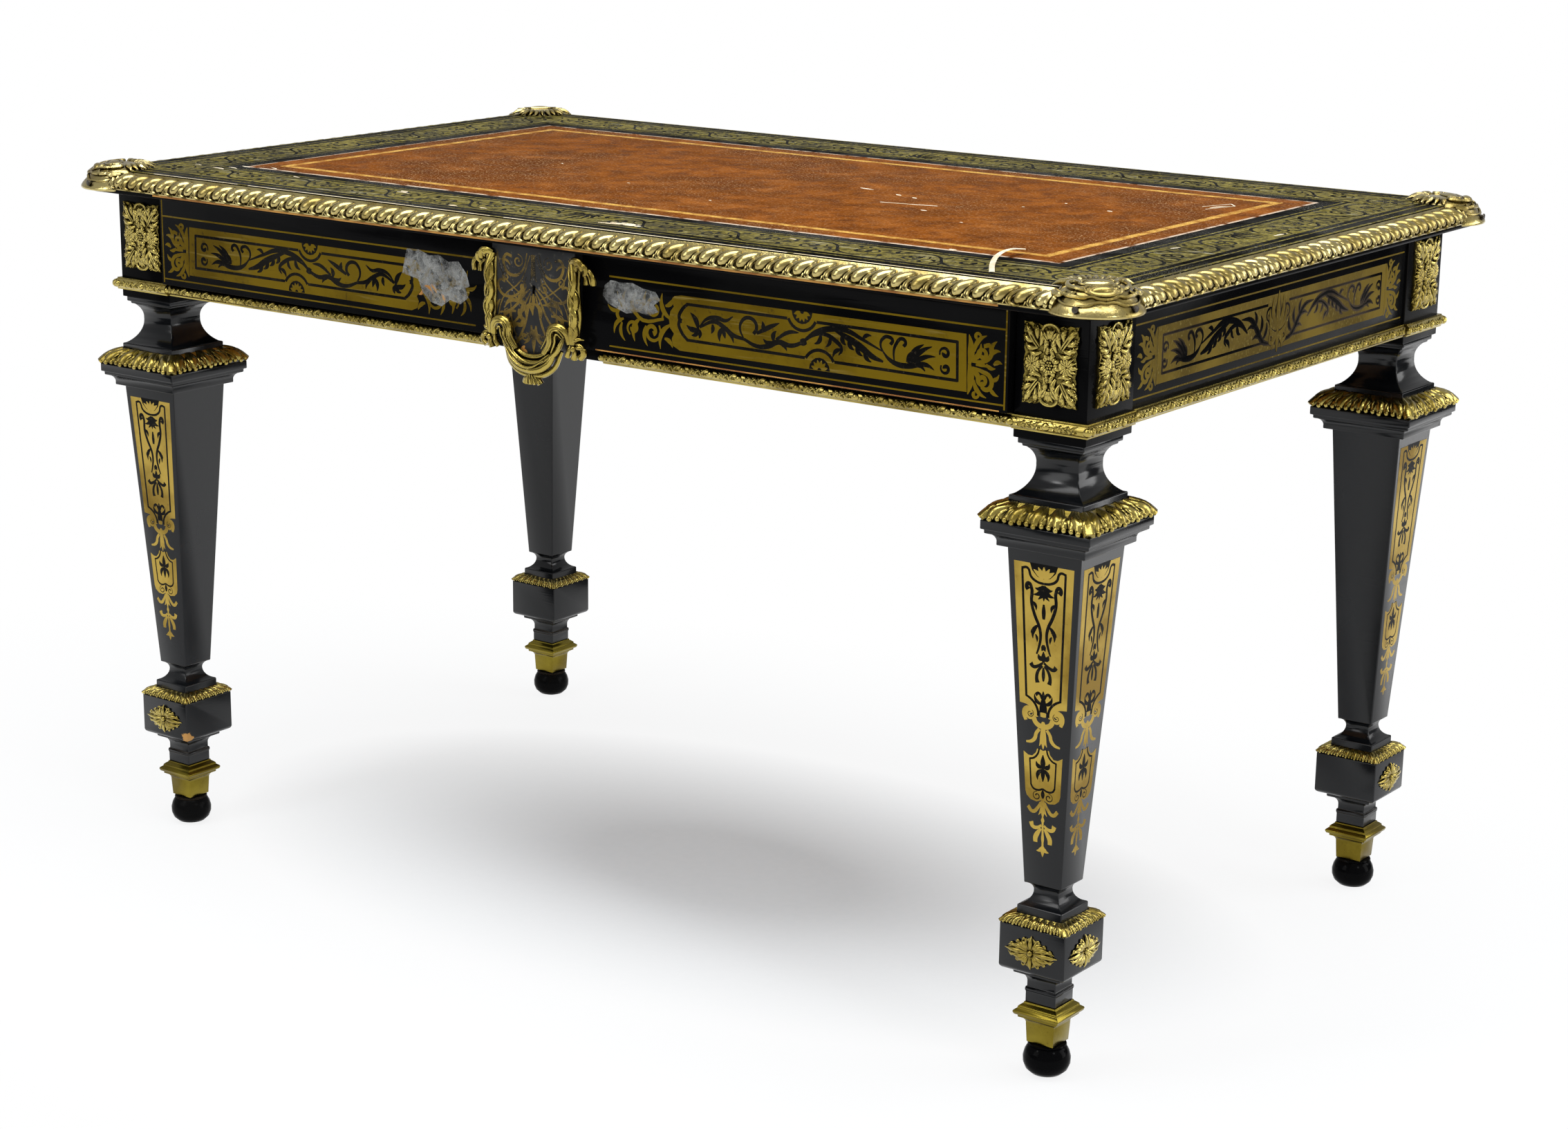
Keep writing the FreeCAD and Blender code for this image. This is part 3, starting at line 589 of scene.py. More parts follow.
INLAY_PROUD, NOTCH_PROUD = 0.06, 0.08
FLAT = 0.035
half_black = [
    even(1, (-23, 507), (-18.2, 384)),
    swell(1.1, (-24, 507.4), (-17.4, 508.4), (-13.6, 500.6), (-7.2, 496.6), (0, 495.6), ends=(0.9, 0.9)),
    swell(1.1, (-18.4, 385), (-13.4, 382.4), (-8.6, 378), (-5.6, 371.4), (-5.4, 367), ends=(0.8, 1)),
    leaf(2.2, (-0.6, 493.6), (-6, 480), 0.16),
    leaf(2.3, (-0.8, 493.8), (-11, 484), 0.22),
    leaf(1.9, (-1, 493.6), (-9.4, 490.6), 0.24),
    swell(1.4, (-16.4, 488), (-18.2, 490.6), (-16.4, 494), (-13.4, 491), (-13, 476), (-9.4, 464),
          (-4.4, 453), (-3.2, 444), (-5, 434), (-7.4, 427), ends=(1.5, 0.5)),
    leaf(1.5, (-12.6, 477), (-8.2, 469), 0.2),
    leaf(1.9, (-6, 455), (-11.4, 441.4), -0.16),
    leaf(1.5, (-8, 450), (-13.6, 446.4), -0.2),
    leaf(1.2, (-8.6, 446), (-7, 438.6), 0.1),
    leaf(1.8, (-0.4, 437), (-2.2, 431), 0.1),
    leaf(2.1, (-0.6, 422.4), (-5.4, 427.4), 0.2),
    swell(1.4, (-0.5, 419.6), (-6, 415.6), (-11, 414.4), (-13.6, 417.4), ends=(0.6, 1.4)),
    swell(1.4, (-1, 416.6), (-5.6, 411), (-7.2, 403.6), (-6.2, 399.4), ends=(0.6, 1.4)),
    leaf(1.7, (-0.8, 379), (-9.4, 388), 0.24),
    swell(1.3, (-1, 383.6), (-5, 389.4), (-8.2, 387), ends=(0.6, 1)),
    swell(0.85, (-4, 335), (-5.6, 329.6), (-9.8, 324.8), (-14.4, 323.2), ends=(0.8, 0.9)),
    even(0.7, (-14.2, 324), (-12.8, 297.6)),
    swell(0.85, (-13, 298.4), (-10.4, 294.6), (-5, 293.6), (0, 295.6), ends=(0.9, 0.9)),
    curl(0.5, (-6.4, 287.6), 4.6, 90, 1.25, 0.25),
    leaf(2, (-0.6, 317), (-7.2, 322), 0.26),
    leaf(1.9, (-0.6, 314.6), (-5.6, 303.6), -0.2),
    curl(0.45, (-14.2, 368), 4.2, 60, -1.2, 0.2),
]
middle_black = [
    leaf(2.2, (0, 494), (0, 479)),
    swell(2.2, (0, 476), (0, 469), (0, 461.5), ends=(0.25, 0.5)),
    leaf(2.2, (0, 419.6), (0, 430.6)),
    swell(2, (0, 415), (0, 408), (0, 401.4), ends=(0.3, 0.3)),
    leaf(2, (0, 380), (0, 392)),
    swell(3.4, (0, 383), (0, 377), (0, 371), ends=(0.5, 1)),
    leaf(2.4, (0, 314.4), (0, 329.4)),
    leaf(2, (0, 316), (0, 302.6)),
    leaf(1.8, (0, 286), (0, 295)),
]
half_brass = [
    curl(2.3, (-14.2, 368), 4.9, 55, -1.1, 0.35),
    swell(1.7, (-12, 373.6), (-18.6, 372.6), (-21, 367.4), (-18.6, 360.6), ends=(0.6, 0.9)),
    swell(2.1, (-10.2, 364.4), (-8.4, 360.6), (-4.6, 357.8), (0, 357), ends=(1.1, 1.1)),
    leaf(1.9, (-1.6, 354.6), (-4, 337.6), 0.08),
    swell(1.7, (-4, 354.4), (-7.4, 349.6), (-8.8, 344.6), (-12.6, 340.8), (-18.2, 339.4), ends=(0.8, 0.45)),
    leaf(1.5, (-0.8, 282), (-4.6, 268.8), 0.1),
    swell(1.6, (-2, 282.4), (-5.6, 275.6), (-11, 271.2), (-16, 275.8), ends=(0.5, 1)),
    swell(1.6, (-1.4, 259), (-6, 255.8), (-10.8, 256.2), (-12.6, 260.6), ends=(0.5, 1.3)),
    swell(2.3, (-1.8, 255.6), (-5.4, 250.6), (-7.8, 245.6), (-7.8, 241), ends=(0.3, 0.8)),
    leaf(1.8, (-0.6, 237.6), (-6.6, 232.6), 0.2),
]
middle_brass = [
    swell(2.5, (-3, 368.6), (0, 368.8), (3, 368.6), ends=(0.6, 0.6)),
    leaf(2.4, (0, 362), (0, 354)),
    leaf(2.6, (0, 356), (0, 335)),
    leaf(2.5, (0, 286), (0, 266.4)),
    even(0.9, (0, 267), (0, 239)),
    swell(1.9, (0, 266), (0, 264), (0, 262), ends=(0.5, 0.5)),
    swell(1.7, (0, 251), (0, 246), (0, 241), ends=(0.4, 0.4)),
    leaf(2, (0, 239), (0, 227.4)),
]
HALF_PLATE = (
    (-32, 513.5), (-25.2, 377.2), (-18.4, 376.4), (-13.4, 374.2), (-10.4, 370.4), (-9.4, 365.4), (-5.6, 366),
    (-4.8, 371.6), (0, 374.4),
)
plate = list(HALF_PLATE) + [(-across, up) for across, up in reversed(HALF_PLATE[:-1])]
HALF_CARTOUCHE = (
    (0, 333.4), (-3.4, 334.6), (-6.4, 334.4), (-7.6, 330.6), (-11.6, 326.6), (-16, 326.6), (-21, 329.6),
    (-18.9, 291), (-17.4, 286.4), (-13, 282.8), (-6.6, 281.8), (-1.8, 284), (0, 286.8),
)
cartouche = list(HALF_CARTOUCHE) + [(-across, up) for across, up in reversed(HALF_CARTOUCHE[1:-1])]
SHAFT_FOOT, SHAFT_LONG = 198.3, 327.2
SHAFT_FOOT_HALF, SHAFT_WIDENS = 20.4, 18.9
SHAFT_TAPER = SHAFT_WIDENS / SHAFT_LONG
SHAFT_HALF_AT_FLOOR = (SHAFT_FOOT_HALF - SHAFT_TAPER * SHAFT_FOOT) / 1000
NOTCH = ((15, 514), (-15, 514), (-12.6, 507), (-7, 501.6), (0, 499.8), (7, 501.6), (12.6, 507))
notch_black = slab(NOTCH, NOTCH_PROUD)
notch_shell = [leaf(2.5, (0, 500.6), tip) for tip in
               ((-11, 508), (-6, 510.6), (0, 511.6), (6, 510.6), (11, 508))]
brass_meshes = [slab(plate, INLAY_PROUD), slab(cartouche, INLAY_PROUD),
                lifted(drawn(notch_shell, 0.05, 0), NOTCH_PROUD),
                drawn(bolder(both(half_brass) + middle_brass, 1.15), FLAT, 0)]
black_mesh = lifted(drawn(bolder(both(half_black) + middle_black, 1.22), FLAT, 0), INLAY_PROUD)
brass, black = bmesh.new(), bmesh.new()
for side, end in CORNERS.values():
    axis = Vector((side * LEG_ACROSS, end * LEG_ALONG, 0.0))
    outer, beside = Vector((0, end * SHAFT_HALF_AT_FLOOR, 0)), Vector((side * SHAFT_HALF_AT_FLOOR, 0, 0))
    faces = (
        facing_to(axis + outer, (-end, 0, 0), (0, end * SHAFT_TAPER, 1)),
        facing_to(axis + beside, (0, side, 0), (side * SHAFT_TAPER, 0, 1)),
    )
    for face in faces:
        for mesh in brass_meshes:
            stamp(brass, mesh, face)
        stamp(black, black_mesh, face)
        stamp(black, notch_black, face)
put("leg_inlays_brass", close_up(brass, "leg brass", 30.0), leg_brass,
    nodes=["leg_inlays"])
put("leg_inlays_black", close_up(black, "leg black", 30.0), black_ground)


# Corner posts: square black blocks over the legs, joining the rails, with softened outer arrises.
for corner in CORNERS:
    eased("corner_post_" + corner, black_wood, ease=0.0009)

# Plaques: cast and chased panels on the posts' outer faces, four sprays of leaf reaching to the corners
# from a berried rose, with a shell in the middle of each side. Gilt, with painted shade and old dirt in the
# hollows.
stems = [
    leaf(1.1, (11, 15.8, 4), (25.6, 36.6, 2.6), 0, 1.6),
    leaf(1.1, (12.6, 14.2, 4), (27.8, 34.4, 2.6), 0, 1.6),
]
fronds = [
    leaf(3.4, (17, 23, 2.6), (28, 37.2, 1.2), 0, 1.2),
    leaf(3.3, (16, 20, 2.6), (28.2, 28.4, 1.2), -0.2, 1.4),
    leaf(3.3, (14.6, 22, 2.6), (19, 37, 1.2), 0.2, 1.4),
    leaf(3.2, (12.6, 15, 2.8), (27.6, 20.6, 1.4), -0.24, 1.6),
    leaf(3.2, (10.6, 17, 2.8), (13.6, 33.6, 1.4), 0.24, 1.6),
    leaf(2.8, (9, 11, 3), (24, 14.6, 1.6), -0.26, 1.6),
    leaf(2.8, (6.4, 12, 3), (9, 27, 1.6), 0.26, 1.6),
    leaf(2.4, (4.6, 8, 3.2), (5, 19.4, 2), 0.26, 1.4),
    leaf(1.5, (22, 21.6, 3), (28.3, 24.8, 1.4), -0.2, 1.2),
    leaf(1.5, (14.6, 29.4, 3), (16, 37, 1.4), 0.2, 1.2),
]
scroll = swell(1.6, (0, 36.8, 2.8), (5, 35.8, 3.2), (8.4, 32.2, 3.2), (8.6, 28, 2.8), ends=(0.9, 0.7))
lobes = []
for line in fronds:
    for place in (1, 2, 3):
        at, after = Vector(line[place][:3]), Vector(line[place + 1][:3])
        run = (after - at).normalized()
        for hand in (-1, 1):
            side = Vector((-run.y, run.x, 0.0)) * hand
            reach = at + (side + run * 0.9) * line[place][3] * 0.95
            lobes.append(leaf(0.95, at + side * line[place][3] * 0.3 + Vector((0, 0, 1.2)), reach, 0, 1))


def fan(across, up, near, reach, start, end, count, half):
    """Leaves spread round a point in part of a rose."""
    lines = []
    for turn in (math.radians(start + (end - start) * place / (count - 1)) for place in range(count)):
        way = Vector((math.cos(turn), math.sin(turn), 0.0))
        base, tip = Vector((across, up, 4.4)) + way * near, Vector((across, up, 2.2)) + way * reach
        lines.append(leaf(half, base, tip, 0.1, 1))
    return lines


side_shell = fan(17.6, 0, 3, 10.6, 0, 180, 8, 1.7) + fan(17.6, 0, 1, 5.6, 20, 160, 4, 1.4)
end_shell = fan(0, 20, 4, 15, 30, 90, 4, 1.8)
plaque_lines = four_ways(stems + fronds + [scroll] + side_shell + end_shell)
plaque_lines += fan(0, 0, 5, 12.6, 22.5, 337.5, 8, 2.4) + fan(0, 0, 4.6, 10, 0, 315, 8, 1.8)
bm = bmesh.new()
bm.from_mesh(drawn(plaque_lines, 0.9, 1, 2))
bm.from_mesh(drawn(four_ways(lobes), 0.9, 0, 1))
bead(bm, 0.0, 0.0, 4.4, 1.8, round_about=6)
for hand in (-1, 1):
    for across, up in ((16.4, 0), (18.6, 1.6), (18.6, -1.6)):
        bead(bm, across * hand, up, 4.0, 1.3, round_about=6)
    for across, up in ((0, 22.6), (-2.4, 21), (2.4, 21)):
        bead(bm, across, up * hand, 3.2, 1.5, round_about=6)
for ring, count in ((2.7, 6), (5.2, 11)):
    for turn in range(count):
        angle = math.tau * turn / count
        bead(bm, ring * math.cos(angle), ring * math.sin(angle) * 1.1, 5.0 - ring * 0.16, 1.45, round_about=6)
PLAQUE_BACK = 2.6
quarter_edge = ((27.8, 0), (27.2, 5), (26, 9), (27.6, 13), (26.6, 17), (28, 20), (26.8, 24), (28.2, 28),
                (27.4, 32), (28.2, 37), (24, 36.4), (20, 37), (17, 35.2), (13.6, 36.4), (9, 34.6), (5, 37))
edge = list(quarter_edge) + [(0, 37.2)] + [(-across, up) for across, up in reversed(quarter_edge)]
bm.from_mesh(slab(edge + [(-across, -up) for across, up in edge[1:-1]], PLAQUE_BACK))
plaque = close_up(bm, "plaque", 60.0)
PLAQUE_MIDDLE = 0.6975
POST_FRONT, POST_SIDE, SIDE_PLAQUE_ALONG = 0.3665, 0.6265, 0.325
bm = bmesh.new()
for side, end in CORNERS.values():
    at = (side * LEG_ACROSS, end * POST_FRONT, PLAQUE_MIDDLE)
    stamp(bm, plaque, facing_to(at, (-end, 0, 0), (0, 0, 1)))
    at = (side * POST_SIDE, end * SIDE_PLAQUE_ALONG, PLAQUE_MIDDLE)
    stamp(bm, plaque, facing_to(at, (0, side, 0), (0, 0, 1)))
put("post_plaques_cast", close_up(bm, "plaques", 60.0), gilt, nodes=["post_plaques"])


# Frieze boards: the two side aprons, the back apron and the rails round the drawer, black like the posts
# where they show and housed between them.
for node in ("side_apron_left", "side_apron_right", "back_apron", "front_lower_rail", "front_upper_rail"):
    eased(node, black_wood, ease=0.0005)

# Lower moulding: a cast half-round of pearls with curled leaves and small crosses between them, run
# along the foot of the frieze in lengths, mitred round the posts, gilt and pinned.
SECTION = ((0, 0), (0.2, 3.4), (1.5, 3.6), (2.2, 5), (4.2, 6.6), (6.75, 7.2), (9.3, 6.6), (11.3, 5),
           (12, 3.6), (13.3, 3.4), (13.5, 0))
PEARL_PITCH, HALF_PITCH, PEARL_LEVEL, CORNER_PEARL = 33.0, 16.5, 6.75, 4.6
leaf_curl = [
    swell(1.25, (4.6, 10.8, 5.4), (7.8, 9.4, 7), (9.6, 6.9, 7.6), (7.6, 4.6, 7.2), (5.6, 5.6, 7),
          ends=(0.5, 0.9)),
    swell(1.2, (12.2, 3, 5.2), (9.8, 4.8, 6.8), (11.6, 8, 7.4), (13.6, 10.6, 5.2), ends=(0.3, 0.3)),
]
cross = [leaf(1.15, (HALF_PITCH, PEARL_LEVEL, 7.6), (HALF_PITCH + a, PEARL_LEVEL + u, 6.2), 0, 0.6)
         for a in (-3.4, 3.4) for u in (-3.4, 3.4)]
bm = bmesh.new()
bm.from_mesh(drawn(leaf_curl + shift(flip(leaf_curl), PEARL_PITCH, 0.0) + cross, 1.0, 0, 3))
bead(bm, 0.0, PEARL_LEVEL, 5.6, 4.1)
bead(bm, HALF_PITCH, PEARL_LEVEL, 7.4, 1.3, round_about=6)
pearl_and_leaf = close_up(bm, "pearl and leaf", 60.0)


def moulded(section, start, end, mitre_start=0.0, mitre_end=0.0):
    """A moulding drawn out between two places along it, its section given as heights and distances out."""
    bm = bmesh.new()
    face = bm.faces.new([bm.verts.new((start / 1000, up / 1000, out / 1000)) for up, out in section])
    drawn_out = bmesh.ops.extrude_face_region(bm, geom=[face])["geom"]
    far = [part for part in drawn_out if isinstance(part, bmesh.types.BMVert)]
    bmesh.ops.translate(bm, vec=((end - start) / 1000, 0.0, 0.0), verts=far)
    for vert in bm.verts:
        vert.co.x += vert.co.z * (mitre_end if vert in far else -mitre_start)
    return bm


def pearl_run(length, mitre_start=0.0, mitre_end=0.0):
    """A length of the moulding in millimetres, its ends square or mitred outwards."""
    bm = moulded(SECTION, 0.0, length, mitre_start, mitre_end)
    pearls = max(1, round(length / PEARL_PITCH))
    pitch = length / pearls
    for place in range(pearls):
        stamp(bm, pearl_and_leaf, Matrix.Translation((pitch * place / 1000, 0.0, 0.0))
              @ Matrix.Diagonal((pitch / PEARL_PITCH, 1.0, 1.0, 1.0)))
    return close_up(bm, "pearl run", 35.0)


MOULDING_FOOT = 0.635
FACE_FRONT, FACE_SIDE = 0.3635, 0.6235
APRON_HALF_ALONG, DRAWER_SPACE_HALF, HANGING_HALF = 0.284, 0.5505, 0.072
half_front = pearl_run((DRAWER_SPACE_HALF - HANGING_HALF) * 1000)
for name, end in (("front", -1), ("back", 1)):
    bm = bmesh.new()
    for start in (-DRAWER_SPACE_HALF, HANGING_HALF):
        at = start if end < 0 else -start
        stamp(bm, half_front, facing_to((at, end * FACE_FRONT, MOULDING_FOOT), (-end, 0, 0), (0, 0, 1)))
    put("frieze_moulding_%s_cast" % name, close_up(bm, "moulding", 35.0), gilt,
        nodes=["frieze_moulding_" + name])
side_run = pearl_run(APRON_HALF_ALONG * 2000)
bm = bmesh.new()
for side in (-1, 1):
    at = (side * FACE_SIDE, -side * APRON_HALF_ALONG, MOULDING_FOOT)
    stamp(bm, side_run, facing_to(at, (0, side, 0), (0, 0, 1)))
put("frieze_moulding_sides_cast", close_up(bm, "moulding", 35.0), gilt,
    nodes=["frieze_moulding_sides"])
front_length = (POST_SIDE - DRAWER_SPACE_HALF) * 1000
side_length = (POST_FRONT - APRON_HALF_ALONG) * 1000
bm = bmesh.new()
for side, end in CORNERS.values():
    hand = side * -end
    along = pearl_run(front_length, 0.0, 1.0) if hand > 0 else pearl_run(front_length, 1.0, 0.0)
    start = side * DRAWER_SPACE_HALF if hand > 0 else side * POST_SIDE
    stamp(bm, along, facing_to((start, end * POST_FRONT, MOULDING_FOOT), (-end, 0, 0), (0, 0, 1)))
    along = pearl_run(side_length, 1.0, 0.0) if hand > 0 else pearl_run(side_length, 0.0, 1.0)
    start = end * POST_FRONT if hand > 0 else end * APRON_HALF_ALONG
    stamp(bm, along, facing_to((side * POST_SIDE, start, MOULDING_FOOT), (0, side, 0), (0, 0, 1)))
    across, along = POST_SIDE * 1000 + CORNER_PEARL, POST_FRONT * 1000 + CORNER_PEARL
    bead(bm, side * across, end * along, MOULDING_FOOT * 1000 + PEARL_LEVEL, CORNER_PEARL)
put("post_mouldings_cast", close_up(bm, "moulding", 35.0), gilt, nodes=["post_mouldings"])

# Frieze marquetry: panels of sheet brass sawn through with the black pattern, their ends and a thin
# stringing let into the black wood. The brass has gone dull and brown, and is scratched.


def dull_brass(name, light, dark, scratch, metallic=0.8):
    """Old sheet brass gone brown, in two tones and a paler one in its scratches."""
    finish, tree, shader = new_finish(name, {"Metallic": metallic, "Specular IOR Level": 0.03})
    marks = effect(tree, wear, {"Size": 9.0})
    colour = tint(tree, marks["Patches"], srgb(*light), srgb(*dark))
    colour = tint(tree, times(tree, marks["Specks"], marks["Patches"]), colour, srgb(82, 66, 20))
    colour = tint(tree, times(tree, marks["Scratches"], marks["Patches"]), colour, srgb(*scratch))
    paint(tree, shader, colour)
    roughen(tree, shader, marks["Patches"], 0.36, 0.52)
    bumpy(tree, shader, marks["Scratches"], 0.16, 0.0002)
    return finish


frieze_brass = dull_brass("frieze brass", (134, 110, 24), (100, 80, 14), (150, 130, 66))
# The side panels get a darker, less metallic copy of the same brass: painted shade on the sides
shaded_side_brass = dull_brass("side brass", (112, 92, 22), (80, 64, 11), (122, 108, 54), 0.3)

# The scrolls of one half panel, starting at the middle shell: an arch with a feathered leaf, two loops
# and a spray of leaves at the end. Across is counted from the middle, up from the panel's mid height.
half_scroll = [
    swell(2.3, (0.5, -3), (6, 1.5), (17.5, 9.5), (34.5, 14.5), (51, 15), (70, 8.5), (93, 0)),
    swell(1.9, (9, 3), (24, 8.5), (39, 4), (46.5, -4), (43, -9.5)),
    leaf(1.8, (46, -4), (36.5, -12.5), -0.2),
    leaf(1.7, (33, 7), (28, -3.5), 0.2),
    leaf(2, (22, 8.5), (15, -2), 0.24),
    swell(3, (37, 13.5), (49.5, 9.5), (66.5, 2), (81, -6), (93.5, -9.5), ends=(0.1, 0.25)),
    leaf(2.1, (47, 10), (51.5, 1), -0.2),
    leaf(2.1, (55, 7), (61, -2.5), -0.22),
    leaf(2.1, (64, 3), (70.5, -7), -0.22),
    leaf(2, (72.5, -1.5), (80.5, -11.5), -0.2),
    leaf(1.7, (70, 8.5), (80, 13), 0.2),
    swell(1.4, (95.5, -3), (90, 6.5), (93.5, 13), (98.5, 14.5), (103.5, 11.5), (101, 7.5), ends=(0.3, 1)),
    swell(1.4, (106, -9), (105, 2), (107.5, 9), (113.5, 14.5), (118, 11), (115.5, 7.5), ends=(0.3, 1)),
    swell(2.2, (93, 0), (99.5, -6), (110, -10), (122.5, -10), (134.5, -8.5), (140, -12.5)),
    leaf(2.2, (120, -7), (130, 4.5), 0.14),
    leaf(2.4, (122, -7.5), (138, 12), 0.12),
    leaf(2.2, (124, -7.5), (147, 11), 0.1),
    leaf(2, (126, -9), (151, 2), 0.12),
    leaf(2, (128, -9.5), (150, -10.5), 0.16),
    curl(1.4, (161, 6.5), 6, 200, -1.1, 0.2),
    curl(1.4, (162, -7.5), 5.5, 150, 1.1, 0.2),
]
# The sprays of brass that spread from a panel's end over the black, from the plate's edge outwards.
end_spray = bolder([
    leaf(4, (2, 0), (1, 27), -0.08),
    leaf(4, (2, 0), (1, -28), 0.08),
    leaf(3, (3, 4), (14, 20), -0.2),
    leaf(3, (3, -4), (13, -19), 0.2),
    swell(2.4, (5, 3), (17, 4), (25, 11), (24, 19), (17, 18), ends=(0.5, 0.8)),
    swell(2.4, (5, -3), (15, -5), (25, -10), (25, -19), (18, -21), (15, -15), ends=(0.5, 0.8)),
    leaf(2.4, (24, 12), (31, 24), 0.14),
    leaf(2.2, (25, 10), (35, 15), 0.2),
    leaf(2.2, (25, -12), (34, -6), -0.2),
    leaf(2.2, (24, -18), (34, -26), -0.14),
    leaf(2.2, (9, 0), (22, -1), 0.1),
    curl(1.7, (10, 26), 4.6, -80, 1, 0.2),
    curl(1.7, (9, -27), 4.6, 80, -1, 0.2),
    curl(2.2, (16, 10), 6, 200, -1.1, 0.2),
    curl(2.2, (16, -13), 6, 160, 1.1, 0.2),
    leaf(2.6, (7, 12), (20, 28), 0.16),
    leaf(2.6, (7, -14), (21, -29), -0.16),
    leaf(2.4, (28, 2), (37, 4), 0.2),
    leaf(2.2, (20, 2), (30, -1), -0.16),
], 0.98)

# Side panels: one plate to each side, a raised brass palmette over its middle.
SIDE_PLATE_HALF, SIDE_PLATE_RISE, SIDE_PLATE_MIDDLE = 238.0, 27.0, 0.691
PALMETTE_PROUD = 0.24
side_plate = slab([(-SIDE_PLATE_HALF, -SIDE_PLATE_RISE), (SIDE_PLATE_HALF, -SIDE_PLATE_RISE),
                   (SIDE_PLATE_HALF, SIDE_PLATE_RISE), (-SIDE_PLATE_HALF, SIDE_PLATE_RISE)], INLAY_PROUD)
half_side_black = [
    even(1.4, (22, 18), (228, 18)),
    even(1.4, (22, -18), (228, -18)),
    even(1.4, (228, -19), (228, 19)),
    swell(4.2, (14, -21), (30, -17), (42, -5), (56, 8), (76, 11), ends=(0.3, 0.1)),
    leaf(3.2, (30, -14), (24, 2), 0.2),
    leaf(3.2, (37, -8), (36, 10), 0.2),
    leaf(3, (46, 0), (50, 15.5), 0.18),
    leaf(2.8, (34, -14), (52, -12), 0.2),
    leaf(2.6, (44, -4), (64, -1), 0.2),
    curl(1.8, (17, 9), 8, -80, 1.2, 0.2),
    swell(1.6, (10, -8), (15, -16), (10, -24)),
] + shift(bolder(half_scroll, 1.5), 62.0, -1.0)
half_side_brass = shift(end_spray, SIDE_PLATE_HALF, 0.0)
half_palmette = [
    leaf(3.6, (1.5, -6), (10, 25), -0.14),
    leaf(3.4, (2.5, -8), (17, 14), -0.2),
    leaf(3.2, (2, -12), (17, -2), -0.24),
    leaf(3.4, (1.5, -14), (10, -28), 0.2),
    curl(2.2, (12, -17), 6, 100, -1, 0.2),
]
palmette_brass = both(half_palmette) + [
    leaf(4.4, (0, -10), (0, 30)), leaf(3.6, (0, -12), (0, -31))]
side_stringing = [even(0.8, (-280, 34), (280, 34)), even(0.8, (-280, -35), (280, -35))]
side_black_mesh = lifted(drawn(both(half_side_black) + bolder(palmette_brass, 1.5), FLAT, 0), INLAY_PROUD)
side_brass_mesh = drawn(both(half_side_brass) + side_stringing, 0.08, 0)
palmette_mesh = lifted(drawn(palmette_brass, 0.1, 0), PALMETTE_PROUD)
brass, black = bmesh.new(), bmesh.new()
for side in (-1, 1):
    face = facing_to((side * FACE_SIDE, 0.0, SIDE_PLATE_MIDDLE), (0, side, 0), (0, 0, 1))
    for mesh in (side_plate, side_brass_mesh, palmette_mesh):
        stamp(brass, mesh, face)
    stamp(black, side_black_mesh, face)
put("side_panels_brass", close_up(brass, "side brass", 30.0), shaded_side_brass,
    nodes=["side_inlays"])
put("side_panels_black", close_up(black, "side black", 30.0), black_wood)


# Drawer: a black front on an oak box, left long enough to run in under the kickers. Sides, back and
# bottom are plain oak, planed and unpolished, like the runners, kickers and stops that carry it.
oak, tree, shader = new_finish("oak", {"Specular IOR Level": 0.3})
marks = effect(tree, wear, {"Size": 6.0})
along_board = {"Vector": on_surface(tree), "Scale": (5.0, 60.0, 90.0)}
grain = noise(tree, add_node(tree, "ShaderNodeMapping", along_board).outputs[0], 3.0, 5.0)
colour = tint(tree, spread(tree, grain, 0.4, 0.62), srgb(168, 122, 72), srgb(134, 92, 50))
paint(tree, shader, tint(tree, marks["Patches"], colour, srgb(142, 102, 60)))
tree.links.new(spread(tree, grain, 0.3, 0.7, 0.5, 0.68), shader["Roughness"])
bumpy(tree, shader, grain, 0.25, 0.0004)
for node in ("drawer_side_left", "drawer_side_right", "drawer_back", "drawer_bottom"):
    eased(node, oak, "drawer", 0.0006)
for node in ("drawer_runners", "drawer_kickers", "drawer_stops"):
    eased(node, oak, "carcass", 0.0006)
eased("drawer_front", black_wood, "drawer", 0.0006)

# Drawer panels: a brass plate each side of the middle, sawn with the black scrolls of half a wave, a shell
# let into its upper and lower edge, and sprays of brass running out over the black at both ends. The
# false front at the back has the same pair.
PANEL_NEAR, PANEL_MIDDLE, PANEL_LONG = 170.0, 689.75, 336.0
SEAT_PROUD, SEAT_ROUND = 0.1, 12.0
UPPER_SEAT, LOWER_SEAT = (151.0, 27.0), (172.0, -26.4)
panel_plate = slab([(PANEL_NEAR + a, PANEL_MIDDLE + u) for a, u in (
    (7, 26.5), (-1, 25), (-4, 20), (-1.6, 14.6), (-5.6, 10), (-7.6, 2), (-6, -7), (-1.4, -12),
    (-4, -17), (-2.6, -24), (6, -27.7), (PANEL_LONG, -26), (334, 27.3))], INLAY_PROUD)
shell = []
for turn in (198, 227, 256, 284, 313, 342):
    across, up = math.cos(math.radians(turn)), math.sin(math.radians(turn))
    shell.append(leaf(2, (2.2 * across, 2.2 * up), (9.8 * across, 9.8 * up)))
panel_border = [
    even(1.5, (14, 18.7), (134, 18.7)),
    even(1.5, (168, 18.7), (325, 18.7)),
    even(1.5, (14, -16.3), (155, -16.5)),
    even(1.5, (189, -16.6), (326, -16.9)),
    even(1.5, (324.6, 19.7), (325.6, -18)),
    even(1.6, *arc((151, 26.6), 17.6, 206, 334)),
    even(1.6, *arc((172, -26), 18.6, 30, 150)),
]
